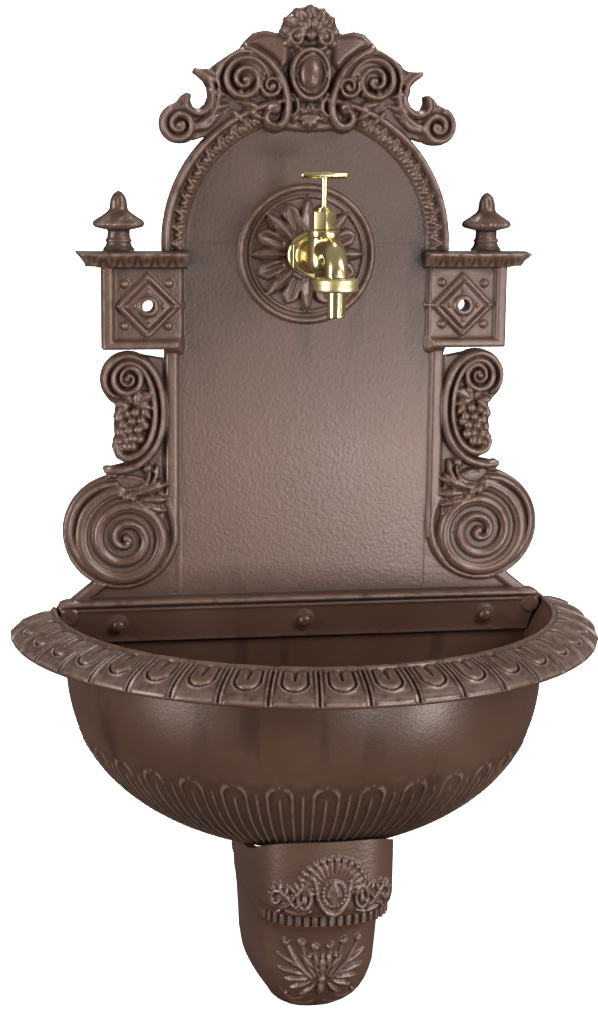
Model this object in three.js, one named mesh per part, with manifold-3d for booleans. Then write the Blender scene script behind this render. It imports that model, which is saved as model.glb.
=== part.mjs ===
// A cast wall fountain: an arched back plate with scroll wings and a crest, a half-round basin
// bolted to its foot, a hollow bracket below, and a brass tap in the rosette.
// Millimetres, +Z up, wall face at y = 0, the front towards -Y.
// Heights below are measured from the lower edge of the two screw blocks; the finished
// fountain is then lowered so that the line of the wall screws is z = 0.
import * as THREE from "three";
import { mergeVertices } from "three/addons/utils/BufferGeometryUtils.js";
import Module from "manifold-3d";

const wasm = await Module();
wasm.setup();

// Fits
const touchGap = 0.3; // air where two fixed pieces meet
const behindWall = -4; // castings are drawn from behind the wall face and cut flat there
const runningGap = 0.35; // air round a turning spindle
const sink = 1; // how far an ornament is rooted in what carries it

// Back plate
const fieldFront = 8; // front of the plain field, from the wall
const fieldHalf = 93; // half width of the field
const borderWidth = 11; // raised border beside the field
const borderRise = 3;
const plateFoot = 185.4; // lower edge of the field, below the datum
const footHalf = 172; // half width of the plate at its foot
const archRadius = 105.8;
const archCentre = 76.5; // height of the arch's centre
const mouldingWidth = 13; // arch moulding, fillet to outer roll
const mouldingRise = 8; // over the field
const archLeaves = 26;
const archFacets = 13; // in a quarter of the arch

// Screw blocks, cornices and finials
const blockInside = 23.6; // the block's reach from the screw towards the field
const blockOutside = 33; // and away from it
const blockTop = 59.6;
const blockFront = 12;
const blockFrame = 7.5; // width of the block's raised outer frame
const diamondReach = 22.5;
const screwHoleRadius = 4.5;
const screwLine = 31.3; // height of the wall screws: the part's origin
const screwReach = 116.6; // from the middle to a wall screw
const corniceHeight = 10.7;
const corniceReach = 167.6; // half length along its top edge
const corniceFront = 24;
const corniceFlare = 7; // how far the cornice widens upwards
const corniceLeaf = 12.4; // spacing of its leaves
const finialPlace = 136.4;
const finialHeight = 43.2;

// Rosette
const rosetteHeight = 68.4;
const rosetteRadius = 50.3;
const petalCount = 16;

// Foot flange and its bolts
const flangeFront = 16;
const flangeDrop = 31.5; // from the plate's foot to the flange's lower edge
const ledgeThickness = 4.2;
const boltReach = 139.5; // from the middle bolt to an outer one
const boltRadius = 2.8;
const boltHeadRadius = 5;
const boltHeadHeight = 3.6;

// Basin
const rimRadius = 218.3;
const mouthRadius = 184.9; // at the rim's inner edge
const basinStandoff = 12.9; // straight run from the wall to the half circle
const bowlRadius = 177.9; // just under the rim
const rimDrop = 18; // from the rim's inner edge to its lip
const bowlDepth = 151; // from under the rim to the bottom
const bowlTopBelowRim = 26.8;
const basinWall = 5;
const basinBack = 8; // thickness of the flat back wall
const tongueUnits = 22; // tongues round the rim, darts between them
const tongueRise = 1.6;
const fluteRise = 1.1;

// Bracket
const bracketHalf = 50;
const bracketFront = 141;
const bracketTop = 325; // hidden under the bowl, below the datum
const bracketFoot = 495; // its lowest point
const bracketWall = 5;
const bracketShadowGap = 2; // open joint under the basin's front

// Tap
const spindleOut = 74; // from the wall to the spindle
const outletOut = 122; // from the wall to the outlet
const inletRadius = 16.5;
const inletFront = 33;
const tailRadius = 10;
const bodyRadius = 11.5;
const bodyTop = 89;
const bonnetAcross = 15.5;
const bonnetTop = 104.5;
const spindleRadius = 2.15;
const barHeight = 126.5;
const barRadius = 2.6;
const barLength = 33;
const nutRadius = 14.8;
const nutHeight = 9;
const nutBottom = 49.6;
const tubeRadius = 6.35;
const tubeBore = 4.7;
const tubeBottom = 32;

const borderFront = fieldFront + borderRise;
const blockOuter = screwReach + blockOutside;
const beyond = 3 * bracketFoot; // longer than the whole fountain, for cutting tools
const basinTop = plateFoot + ledgeThickness + touchGap; // all below the datum
const rimTop = basinTop + 3.3;
const bowlTop = rimTop + bowlTopBelowRim;
const TURN = Math.PI * 2;
const QUARTER = Math.PI / 2;

const castPaint = { color: 0x5a463d, roughness: 0.5, metalness: 0.35 };
const polishedBrass = { color: 0xd9b55a, roughness: 0.22, metalness: 1 };

// A three.js geometry as a solid: shared vertices merged, collapsed triangles dropped.
function solidOf(geometry) {
  const bare = new THREE.BufferGeometry();
  bare.setAttribute("position", geometry.getAttribute("position").clone());
  if (geometry.index) bare.setIndex(geometry.index.clone());
  const merged = mergeVertices(bare, 1e-3);
  const corners = merged.index.array;
  const kept = [];
  for (let i = 0; i < corners.length; i += 3) {
    const [a, b, c] = corners.slice(i, i + 3);
    if (a !== b && b !== c && a !== c) kept.push(a, b, c);
  }
  return new wasm.Manifold(new wasm.Mesh({
    numProp: 3,
    vertProperties: merged.attributes.position.array,
    triVerts: new Uint32Array(kept),
  }));
}

function join(solids) {
  return solids.reduce((whole, next) => whole.add(next));
}

// Ornaments that lean together can close off a pocket of air, which a casting would not have.
function withoutPockets(solid) {
  return join(solid.decompose().filter((body) => body.volume() > 0));
}

function geometryOf(solid) {
  const mesh = solid.getMesh();
  const geometry = new THREE.BufferGeometry();
  geometry.setAttribute("position", new THREE.BufferAttribute(mesh.vertProperties, 3));
  geometry.setIndex(new THREE.BufferAttribute(mesh.triVerts, 1));
  geometry.computeVertexNormals();
  return geometry;
}

// The same form on the other side of x = 0, with its faces turned back outwards.
function mirrored(geometry) {
  const other = geometry.index ? geometry.toNonIndexed() : geometry.clone();
  other.scale(-1, 1, 1);
  const p = other.getAttribute("position");
  for (let i = 0; i < p.count; i += 3) {
    const held = [p.getX(i), p.getY(i), p.getZ(i)];
    p.setXYZ(i, p.getX(i + 1), p.getY(i + 1), p.getZ(i + 1));
    p.setXYZ(i + 1, ...held);
  }
  return other;
}

function onBothSides(geometries) {
  return geometries.flatMap((g) => [g, mirrored(g)]);
}

// The back plate is drawn as its front view: x to the right, y up, z out from the wall.
// A layer is a flat shape raised from behind the wall plane to its front, with a bevelled edge.
function layer(shape, front, bevel = 0, curveSegments = 12) {
  const behind = 3;
  const geometry = new THREE.ExtrudeGeometry(shape, {
    depth: front - bevel + behind,
    bevelEnabled: bevel > 0,
    bevelThickness: bevel,
    bevelSize: bevel,
    bevelOffset: -bevel,
    bevelSegments: 1,
    curveSegments,
  });
  return geometry.translate(0, 0, -behind);
}

function polygon(points) {
  return new THREE.Shape(points.map(([x, y]) => new THREE.Vector2(x, y)));
}

function rectangle(x0, x1, y0, y1) {
  return polygon([[x0, y0], [x1, y0], [x1, y1], [x0, y1]]);
}

function ellipse(x, y, rx, ry = rx) {
  return new THREE.Shape().absellipse(x, y, rx, ry, 0, TURN);
}

// A half ring standing on straight legs, as the arch and its moulding are.
function archBand(outer, inner, legs) {
  const shape = new THREE.Shape();
  shape.moveTo(outer, archCentre - legs);
  shape.absarc(0, archCentre, outer, 0, Math.PI);
  shape.lineTo(-outer, archCentre - legs);
  if (inner > 0) {
    shape.lineTo(-inner, archCentre - legs);
    shape.absarc(0, archCentre, inner, Math.PI, 0, true);
    shape.lineTo(inner, archCentre - legs);
  }
  return shape;
}

// A spiral that runs clockwise inwards, its radius falling evenly.
class Spiral extends THREE.Curve {
  constructor(x, y, from, turns, start, end, out) {
    super();
    Object.assign(this, { x, y, from, turns, start, end, out });
  }

  getPoint(t) {
    const angle = this.from - TURN * this.turns * t;
    const radius = this.start + (this.end - this.start) * t;
    return new THREE.Vector3(
      this.x + radius * Math.cos(angle), this.y + radius * Math.sin(angle), this.out);
  }
}

function throughPoints(points, out) {
  return new THREE.CatmullRomCurve3(points.map(([x, y]) => new THREE.Vector3(x, y, out)));
}

// A ridge along a curve in the plate's plane: a four-sided bar, half of it sunk.
function ridge(curve, width, rise, steps) {
  const bar = polygon([[rise, 0], [0, width / 2], [-rise, 0], [0, -width / 2]]);
  return new THREE.ExtrudeGeometry(bar, { steps, extrudePath: curve, curveSegments: 1 });
}

// A pointed leaf, petal or bead: a flattened octahedron, half of it sunk.
function leaf(x, y, out, length, width, rise, angle = 0) {
  return new THREE.OctahedronGeometry(1)
    .scale(length / 2, width / 2, rise)
    .rotateZ(angle)
    .translate(x, y, out);
}

// The plain field, its raised border, the arch and the foot.
function fieldLayers() {
  const borderOuter = fieldHalf + borderWidth;
  const volute = wingPoint(30, 138);
  const half = [
    layer(rectangle(0, fieldHalf + sink, -plateFoot, archCentre), fieldFront),
    layer(polygon([
      [fieldHalf, -plateFoot], [footHalf, -plateFoot],
      wingPoint(47, 168), wingPoint(0, 138), [fieldHalf, volute[1]],
    ]), fieldFront),
    layer(rectangle(fieldHalf, borderOuter, volute[1], archCentre), borderFront, 1.5),
    layer(ellipse(...volute, wingSize(41)), borderFront, 2, 8),
    layer(polygon([
      [footHalf - 8, -plateFoot], [footHalf, -plateFoot], wingPoint(48, 167), wingPoint(42, 171),
    ]), borderFront, 1),
  ];
  return [
    ...onBothSides(half),
    layer(archBand(archRadius, 0, 7), fieldFront, 0, archFacets),
    layer(archBand(archRadius, archRadius - 5.5, 7), fieldFront + mouldingRise, 1.6, archFacets),
    layer(archBand(archRadius, archRadius - mouldingWidth, 7), fieldFront + mouldingRise / 2, 0, archFacets),
    ...archLeafRow(),
  ];
}

// The leaves under the arch's roll: a band whose inner edge runs in points.
function archLeafRow() {
  const tip = archRadius - mouldingWidth + 1;
  const notch = archRadius - 8;
  const edge = [];
  for (let i = 0; i <= 2 * archLeaves; i++) {
    const angle = Math.PI * i / (2 * archLeaves);
    const radius = i % 2 === 0 ? notch : tip;
    edge.push([radius * Math.cos(angle), archCentre + radius * Math.sin(angle)]);
  }
  const outer = [];
  for (let i = 2 * archFacets; i >= 0; i--) {
    const angle = Math.PI * i / (2 * archFacets);
    outer.push([(archRadius - 3) * Math.cos(angle), archCentre + (archRadius - 3) * Math.sin(angle)]);
  }
  return [layer(polygon([...edge, ...outer]), fieldFront + mouldingRise * 0.75)];
}

// A screw block: a plain panel in a raised frame, a stepped diamond and its rivets.
function blockLayers() {
  const inner = screwReach - blockInside;
  const diamond = (reach, front) => layer(polygon([
    [screwReach - reach, screwLine], [screwReach, screwLine - reach],
    [screwReach + reach, screwLine], [screwReach, screwLine + reach],
  ]), front, 1.5);
  const rivets = [];
  for (const side of [-1, 1]) {
    for (const rise of [-14, 15.5]) {
      rivets.push(leaf(screwReach + side * 16, screwLine + rise, blockFront, 6, 6, 3));
    }
  }
  return onBothSides([
    layer(rectangle(inner, blockOuter, 0, blockTop + sink), blockFront),
    layer(rectangle(blockOuter - blockFrame, blockOuter, 0, blockTop + sink), blockFront + 4, 1.5),
    layer(rectangle(inner, blockOuter, 0, blockFrame - 1), blockFront + 4, 1.5),
    diamond(diamondReach, blockFront + 3),
    diamond(diamondReach * 0.72, blockFront + 4.5),
    layer(ellipse(screwReach, screwLine, screwHoleRadius + 3), blockFront + 6.5, 1.2, 8),
    ...rivets,
  ]);
}

function screwHoles() {
  return onBothSides([
    new THREE.CylinderGeometry(screwHoleRadius, screwHoleRadius, 60, 16)
      .rotateX(QUARTER).translate(screwReach, screwLine, 10),
  ]);
}

// A cornice widens upwards on its front and its free end, with a row of pointed leaves.
function corniceLayers() {
  const top = blockTop + corniceHeight;
  const body = new THREE.BoxGeometry(1, 1, 1);
  const p = body.getAttribute("position");
  for (let i = 0; i < p.count; i++) {
    const flare = p.getY(i) > 0 ? corniceFlare : 0;
    const out = p.getX(i) > 0 ? corniceReach - corniceFlare + flare : fieldHalf;
    const front = p.getZ(i) > 0 ? corniceFront - corniceFlare + flare : -1;
    p.setXYZ(i, out, p.getY(i) > 0 ? top - 1.6 : blockTop, front);
  }
  const leaves = [];
  const middle = (blockTop + top - 2) / 2;
  const tilt = Math.atan2(corniceFlare, corniceHeight - 1.6);
  for (let x = corniceReach - corniceLeaf; x > fieldHalf + 8; x -= corniceLeaf) {
    leaves.push(new THREE.OctahedronGeometry(1).scale(4.6, corniceHeight / 2 - 0.6, 2.4)
      .rotateX(tilt).translate(x, middle, corniceFront - corniceFlare / 2));
  }
  for (const out of [0.35, 0.85]) {
    leaves.push(new THREE.OctahedronGeometry(1).scale(2.4, corniceHeight / 2 - 0.6, 4.2)
      .rotateZ(-tilt).translate(corniceReach - corniceFlare / 2, middle, corniceFront * out - 2));
  }
  const slab = layer(rectangle(fieldHalf, corniceReach, top - 1.7, top), corniceFront);
  return onBothSides([body, slab, ...leaves]);
}

// A finial: a turned, fluted knob cast as a half round on the cornice.
function finialForms() {
  const h = finialHeight;
  const foot = blockTop + corniceHeight - sink;
  const profile = [
    [0, 0], [0.27, 0], [0.27, 0.1], [0.2, 0.19], [0.2, 0.37],
    [0.4, 0.41], [0.44, 0.47], [0.23, 0.66], [0.145, 0.87], [0.09, 0.97], [0, 1],
  ].map(([r, z]) => new THREE.Vector2(r * h, foot + z * (h + sink)));
  const knob = new THREE.LatheGeometry(profile, 10);
  return onBothSides([knob.translate(finialPlace, 0, 0)]);
}

// The wings: measures run from the border's outer edge and down from the block.
function wingSize(length) {
  return length * plateFoot / 185.4;
}

function wingPoint(out, down) {
  return [fieldHalf + borderWidth + wingSize(out), -wingSize(down)];
}

function wingForms() {
  const base = borderFront + 1;
  const at = (out, down) => wingPoint(out, down);
  const ridgeWidth = wingSize(4.6);
  const forms = [
    layer(ellipse(...at(29.5, 20.5), wingSize(17.5)), base + 2, 0, 6),
    layer(polygon([
      at(-2, 30), at(2, 14), at(16, 4), at(30, 30), at(35, 38), at(37.5, 58), at(39, 74),
      at(32, 84), at(43, 87), at(43, 104), at(30, 112), at(-2, 112),
    ]), borderFront),
    layer(ellipse(...at(33, 134), wingSize(40.5)), base + 1, 2.5, 9),
    layer(polygon([at(36, 86.5), at(43.4, 86.5), at(43.4, 104), at(36, 104)]), base + 3),
  ];
  // The big C-scroll, its upper curl and the volute below.
  const cArc = new Spiral(...at(39, 47), Math.PI * 1.56, 0.44, wingSize(41), wingSize(43), base);
  const curl = new Spiral(...at(30, 20.5), QUARTER * 1.1, 1.9, wingSize(15.5), wingSize(2.5), base + 2);
  const volute = new Spiral(...at(32, 138), QUARTER * 0.9, 2.75, wingSize(35), wingSize(3), base + 1);
  forms.push(ridge(cArc, ridgeWidth, 4, 9));
  forms.push(ridge(curl, ridgeWidth, 3.4, 14));
  forms.push(ridge(volute, wingSize(6), 4.2, 20));
  // Grapes hang in the C-scroll under two leaves.
  for (let row = 0; row < 4; row++) {
    const count = [3, 3, 2, 1][row];
    for (let i = 0; i < count; i++) {
      const out = 25 + (i - (count - 1) / 2) * 8.6 + row * 0.6;
      forms.push(leaf(...at(out, 43 + row * 8), borderFront, 9.4, 9.4, 5, 0.4));
    }
  }
  forms.push(leaf(...at(15, 35), borderFront, 16, 7, 4, 0.6), leaf(...at(31, 36), borderFront, 13, 7, 4, -0.7));
  forms.push(ridge(throughPoints([at(12, 46), at(14, 62), at(22, 74), at(32, 76)], borderFront), 4, 3, 5));
  // A spray of leaves lies over the volute's shoulder.
  const spray = [[4, 100, 2.3], [3, 108, 2.9], [8, 118, 3.5], [14, 104, 0.3], [26, 110, 0]];
  for (const [out, down, angle] of spray) {
    forms.push(leaf(...at(out, down), base + 1, 15, 8, 4.5, angle));
  }
  return onBothSides(forms);
}

// The crest is drawn round the arch's centre and grows with the arch.
function crestSize(length) {
  return length * archRadius / 105.8;
}

function crestPoint(x, y) {
  return [crestSize(x), archCentre + crestSize(y - 76.5)];
}

function crestForms() {
  const at = crestPoint;
  const size = crestSize;
  const base = fieldFront + 4;
  const gap = layer(ellipse(...at(80.6, 181.4), size(8)), 60, 0, 6);
  const silhouettes = [
    layer(polygon([
      at(0, 232), at(18, 226), at(44, 214), at(68, 200.5), at(76, 198.8), at(82.2, 198.6),
      at(80.5, 194.5), at(75, 189), at(74, 178), at(82, 172), at(90, 181.7), at(93, 177),
      at(100, 168), at(94, 150), at(60, 160), at(0, 160),
    ]), base),
    layer(ellipse(...at(29, 206), size(21)), base + 2, 0, 6),
    layer(ellipse(...at(45, 190), size(25.5)), base + 1, 0, 7),
    layer(ellipse(...at(93.6, 161.6), size(13.6)), base + 5, 0, 5),
    layer(ellipse(...at(28, 189), size(8)), base + 4, 0, 4),
    layer(ellipse(...at(25.5, 170), size(8.5)), base + 4, 0, 4),
  ];
  const ridges = [
    ridge(throughPoints([
      at(47, 214), at(33, 209), at(22, 201), at(16, 188), at(15.5, 174), at(20, 163), at(27, 164),
    ], base + 2), size(7), 6, 8),
    ridge(new Spiral(...at(47, 190.5), QUARTER * 1.6, 1.9, size(21), size(3), base + 1), size(5.4), 5.5, 14),
    ridge(throughPoints([at(88, 181), at(91, 176), at(86, 168), at(76, 170), at(68, 178), at(66, 190)], base),
      size(5), 5, 8),
    ridge(new Spiral(...at(92, 160), QUARTER * 1.2, 1.4, size(11), size(2.5), base + 5), size(4.2), 3.2, 10),
  ];
  const leaves = [
    leaf(...at(72, 194.5), base, size(26), size(9), 6, -0.1),
    leaf(...at(72, 168), base, size(22), size(8), 6, -0.85),
    leaf(...at(38, 174), base, size(18), size(8), 5, -0.5),
  ];
  const sides = join(onBothSides([...silhouettes, ...ridges, ...leaves]).map(solidOf))
    .subtract(join(onBothSides([gap]).map(solidOf)));
  // A flower on top, the oval cartouche under it and a lobed apron over the arch.
  const middle = [
    layer(ellipse(...at(0, 226), size(20.6)), base + 3, 0, 7),
    layer(ellipse(...at(0, 196.7), size(15.5), size(20)), base + 5, 0, 6),
    layer(ellipse(...at(0, 196.7), size(9.5), size(13)), base + 9, 3, 4),
    layer(ellipse(...at(0, 224), size(6)), base + 8, 0, 3),
  ];
  for (let i = 0; i < 7; i++) {
    const angle = Math.PI * (i / 6 * 1.2 - 0.1);
    middle.push(leaf(
      size(12 * Math.cos(angle)), at(0, 226)[1] + size(12 * Math.sin(angle)), base + 3,
      size(13), size(8), 5.5, angle));
  }
  for (const x of [-1, 0, 1]) middle.push(layer(ellipse(...at(x * 11.5, 168), size(7)), base + 2, 0, 5));
  return join([sides, ...middle.map(solidOf)]);
}

// The rosette: a moulded ring, a fan of long and short petals and a hub under the tap.
function rosetteForms() {
  const r = rosetteRadius;
  const rise = fieldFront;
  const ring = (outer, inner, height) => {
    const shape = ellipse(0, rosetteHeight, outer);
    shape.holes.push(new THREE.Path().absellipse(0, rosetteHeight, inner, inner, 0, TURN));
    return layer(shape, height, 0, 12);
  };
  const forms = [
    ring(r, r * 0.91, rise + 4),
    layer(ellipse(0, rosetteHeight, r * 0.36), rise + 3.5, 0, 10),
  ];
  for (let i = 0; i < petalCount; i++) {
    const angle = TURN * i / petalCount;
    const long = i % 2 === 0;
    const middle = r * (long ? 0.53 : 0.49);
    forms.push(leaf(
      middle * Math.cos(angle), rosetteHeight + middle * Math.sin(angle), rise,
      r * (long ? 0.58 : 0.52), r * (long ? 0.17 : 0.22), long ? 6.5 : 5, angle));
  }
  return forms;
}

// The plate's foot steps forward and hangs as a flange inside the basin's back wall.
function flangeForms() {
  const top = -plateFoot;
  const bottom = -(plateFoot + flangeDrop);
  const shoulder = mouthRadius - 2;
  const low = cavityRadius(-bottom) - 2;
  const ledge = new THREE.Shape();
  ledge.moveTo(0, top - ledgeThickness);
  ledge.lineTo(shoulder, top - ledgeThickness);
  ledge.quadraticCurveTo(shoulder, top, shoulder - 7, top);
  ledge.lineTo(0, top);
  const flange = polygon([[0, bottom], [low, bottom], [shoulder, -rimTop], [shoulder, top - 1], [0, top - 1]]);
  const basinSpace = layer(rectangle(-beyond, beyond, -beyond, top - ledgeThickness), basinBack + touchGap);
  const hanging = join(onBothSides([layer(flange, flangeFront)]).map(solidOf))
    .subtract(solidOf(basinSpace));
  return join([...onBothSides([layer(ledge, flangeFront, 0, 5)]).map(solidOf), hanging]);
}

// Levels of the basin are D-shaped outlines: straight out from the wall, then a half circle.
// Stations run once round it in equal parts of the rim; each unit of the rim has three.
function basinStations(perUnit) {
  const straight = basinStandoff / rimRadius;
  const count = tongueUnits * perUnit;
  return Array.from({ length: count + 1 }, (_, i) => ({
    turn: -straight + (Math.PI + 2 * straight) * i / count,
    straight,
    phase: i % perUnit,
  }));
}

function basinOutline(radius, wallY, stations, raise) {
  return stations.map(({ turn, straight, phase }) => {
    const r = radius + raise(phase);
    if (turn < 0) return [r, wallY + (basinStandoff - wallY) * (1 + turn / straight)];
    if (turn > Math.PI) {
      return [-r, wallY + (basinStandoff - wallY) * (1 - (turn - Math.PI) / straight)];
    }
    return [r * Math.cos(turn), basinStandoff + r * Math.sin(turn)];
  });
}

// A closed solid from outlines stacked from the top down, each [points, depth below the datum].
function stackedSolid(levels) {
  const size = levels[0][0].length;
  const points = levels.flatMap(([outline, below]) => outline.map(([x, out]) => [x, -out, -below]));
  const faces = [];
  for (let k = 0; k + 1 < levels.length; k++) {
    for (let i = 0; i < size; i++) {
      const a = k * size + i;
      const b = k * size + (i + 1) % size;
      faces.push(a, a + size, b, b, a + size, b + size);
    }
  }
  const last = (levels.length - 1) * size;
  for (let i = 1; i + 1 < size; i++) {
    faces.push(0, i, i + 1);
    faces.push(last, last + i + 1, last + i);
  }
  const geometry = new THREE.BufferGeometry();
  geometry.setAttribute("position", new THREE.Float32BufferAttribute(points.flat(), 3));
  geometry.setIndex(faces);
  const solid = solidOf(geometry);
  if (solid.volume() > 0) return solid;
  for (let i = 0; i < faces.length; i += 3) [faces[i + 1], faces[i + 2]] = [faces[i + 2], faces[i + 1]];
  geometry.setIndex(faces);
  return solidOf(geometry);
}

// The bowl's round: how wide it is at a depth, for its outside or its inside.
function bowlRound(top, depth, radius, below) {
  const share = Math.min(Math.max((below - top) / depth, 0), 1);
  return radius * Math.pow(1 - Math.pow(share, 2.74), 1 / 1.67);
}

function bowlWidth(below, grow = 0) {
  return bowlRound(bowlTop, bowlDepth + grow, bowlRadius + grow, below);
}

function cavityRadius(below) {
  const inside = bowlRound(bowlTop, bowlDepth - basinWall, bowlRadius - basinWall, below);
  if (below >= bowlTop) return inside;
  const share = Math.max((below - rimTop) / bowlTopBelowRim, 0);
  return mouthRadius + (inside - mouthRadius) * Math.pow(share, 0.8);
}

function basinSolid() {
  const stations = basinStations(3);
  const tongue = (amount) => (phase) => amount * [-0.8, 1, 1][phase];
  const flute = (amount) => (phase) => amount * [-0.5, 1, 1][phase];
  const none = () => 0;
  const rimWidth = rimRadius - mouthRadius;
  // The rim's round, as shares of its width and drop, with how strongly it is carved.
  const rim = [
    [-0.03, 0, 0], [0.06, -0.06, 0], [0.5, 0.24, 1], [0.86, 0.6, 1],
    [1, 0.9, 0.8], [0.97, 1.06, 0.4],
  ];
  const levels = rim.map(([across, down, carved]) => [
    basinOutline(mouthRadius + across * rimWidth, behindWall, stations, tongue(carved * tongueRise)),
    rimTop + down * rimDrop,
  ]);
  levels.push([basinOutline(bowlRadius + 8, behindWall, stations, none), rimTop + rimDrop]);
  for (let i = 0; i <= 6; i++) {
    const below = bowlTop + bowlDepth * Math.sin(QUARTER * i / 6.5);
    const carved = i > 1 && i < 6 ? fluteRise : 0;
    levels.push([basinOutline(bowlWidth(below), behindWall, stations, flute(carved)), below]);
  }
  // The top of the back wall stands a little over the rim, up to the plate's foot.
  const backTop = polygon([
    [-mouthRadius - 4, -rimTop - 6], [mouthRadius + 4, -rimTop - 6],
    [mouthRadius - 2, -basinTop], [-mouthRadius + 2, -basinTop],
  ]);
  const upstand = new THREE.ExtrudeGeometry(backTop, { depth: basinBack - 0.5 - behindWall, bevelEnabled: false })
    .translate(0, 0, behindWall).rotateX(QUARTER);
  const hollowStations = basinStations(1);
  const hollow = [];
  for (const below of [basinTop - 5, rimTop + 4, rimTop + 14]) {
    hollow.push([basinOutline(cavityRadius(below), basinBack, hollowStations, none), below]);
  }
  for (let i = 0; i <= 6; i++) {
    const below = bowlTop + (bowlDepth - basinWall) * Math.sin(QUARTER * i / 6.6);
    hollow.push([basinOutline(cavityRadius(below), basinBack, hollowStations, none), below]);
  }
  return stackedSolid(levels).subtract(stackedSolid(hollow)).add(solidOf(upstand))
    .subtract(wallSpace()).subtract(boltHoles());
}

// Everything behind the wall face.
function wallSpace() {
  return solidOf(new THREE.BoxGeometry(beyond, beyond, beyond).translate(0, beyond / 2, 0));
}

function boltPlaces() {
  return [["left", -boltReach], ["middle", 0], ["right", boltReach]];
}

function boltHeight() {
  return -(plateFoot + flangeDrop * 0.59);
}

function boltHoles() {
  return join(boltPlaces().map(([, x]) => solidOf(
    new THREE.CylinderGeometry(boltRadius + touchGap, boltRadius + touchGap, 60, 12)
      .translate(x, 0, boltHeight()))));
}

function boltSolid(x) {
  const seat = flangeFront + touchGap;
  const profile = [
    [0, 0.5], [boltRadius, 0.5], [boltRadius, seat], [boltHeadRadius, seat],
    [boltHeadRadius * 0.93, seat + boltHeadHeight * 0.45],
    [boltHeadRadius * 0.6, seat + boltHeadHeight * 0.85], [0, seat + boltHeadHeight],
  ].map(([r, out]) => new THREE.Vector2(r, out));
  const turned = new THREE.LatheGeometry(profile, 12).rotateX(Math.PI);
  return solidOf(turned.translate(x, 0, boltHeight()));
}

// The bracket's levels: half width at the wall and at the front corner, how far out the
// corner and the bowed front reach, as shares of the half width and the front, and its depth
// as a share of the bracket's own height below the basin.
const bracketLevels = [
  [1.06, 1.01, 0.71, 1, 0], [1.05, 1, 0.71, 1, 0.345], [1.03, 0.98, 0.7, 0.985, 0.368],
  [1.02, 0.955, 0.69, 0.965, 0.375], [1.01, 0.95, 0.69, 0.965, 0.435], [0.99, 0.92, 0.56, 0.78, 0.475],
  [0.97, 0.9, 0.53, 0.74, 0.52], [0.93, 0.85, 0.52, 0.715, 0.72], [0.88, 0.77, 0.49, 0.68, 0.81],
  [0.78, 0.64, 0.44, 0.61, 0.89], [0.62, 0.47, 0.36, 0.52, 0.945], [0.4, 0.26, 0.26, 0.39, 0.985],
  [0.2, 0.1, 0.14, 0.24, 1],
];

function bracketOutline([wide, narrow, corner, front], inset) {
  const bow = 7;
  const sideBelly = 0.8;
  const w0 = bracketHalf * wide - inset;
  const w1 = Math.max(bracketHalf * narrow - inset, 1);
  const reach = bracketFront * corner - inset * 0.7;
  const nose = Math.max(bracketFront * front - inset - reach, 1);
  const middle = (w0 + w1) / 2 + sideBelly;
  const outline = [[w0, behindWall], [middle, reach / 2]];
  for (let i = 0; i <= bow; i++) {
    const angle = Math.PI * i / bow;
    outline.push([w1 * Math.cos(angle), reach + nose * Math.sin(angle)]);
  }
  outline.push([-middle, reach / 2], [-w0, behindWall]);
  return outline;
}

function bracketSolid() {
  const height = bracketFoot - bracketTop;
  const outer = stackedSolid(bracketLevels.map((level) => [
    bracketOutline(level, 0), bracketTop + height * level[4]]));
  const inner = stackedSolid(bracketLevels.slice(0, -1).map((level) => [
    bracketOutline(level, bracketWall),
    bracketTop - 2 + (height - bracketWall) * level[4],
  ])).translate([0, 2, 0]);
  const stations = basinStations(1);
  const bowlShape = (grow) => stackedSolid([
    [basinOutline(bowlRadius + grow, 2 * behindWall, stations, () => 0), rimTop],
    ...Array.from({ length: 8 }, (_, i) => {
      const below = bowlTop + (bowlDepth + grow) * Math.sin(QUARTER * i / 7.3);
      return [basinOutline(bowlWidth(below, grow), 2 * behindWall, stations, () => 0), below];
    }),
  ]);
  const frontOnly = solidOf(new THREE.BoxGeometry(beyond, beyond, beyond)
    .translate(0, -(bracketFront * 0.45 + beyond / 2), 0));
  const clearance = fluteRise + touchGap;
  return outer.subtract(inner)
    .subtract(bowlShape(clearance))
    .subtract(bowlShape(clearance + bracketShadowGap).intersect(frontOnly))
    .add(bracketOrnament())
    .subtract(wallSpace());
}

// A point on the bracket's bowed front: across from -1 to 1, at a share of its height.
function bracketFace(across, share) {
  const k = bracketLevels.findIndex((level) => level[4] > share);
  const [a, b] = [bracketLevels[k - 1], bracketLevels[k]];
  const t = (share - a[4]) / (b[4] - a[4]);
  const [, narrow, corner, front] = a.map((value, i) => value + (b[i] - value) * t);
  const angle = QUARTER * (1 - across);
  const reach = bracketFront * corner;
  return {
    x: bracketHalf * narrow * Math.cos(angle),
    out: reach + (bracketFront * front - reach) * Math.sin(angle),
    below: bracketTop + (bracketFoot - bracketTop) * share,
    facing: Math.atan2(Math.cos(angle) * (bracketFront * front - reach), Math.sin(angle) * bracketHalf * narrow),
  };
}

function bracketBoss(across, share, width, height, rise, tilt = 0) {
  const { x, out, below, facing } = bracketFace(across, share);
  return solidOf(new THREE.OctahedronGeometry(bracketHalf / 50, 0)
    .scale(width / 2, rise, height / 2)
    .rotateY(tilt)
    .rotateZ(facing)
    .translate(x, -out, -below));
}

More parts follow.
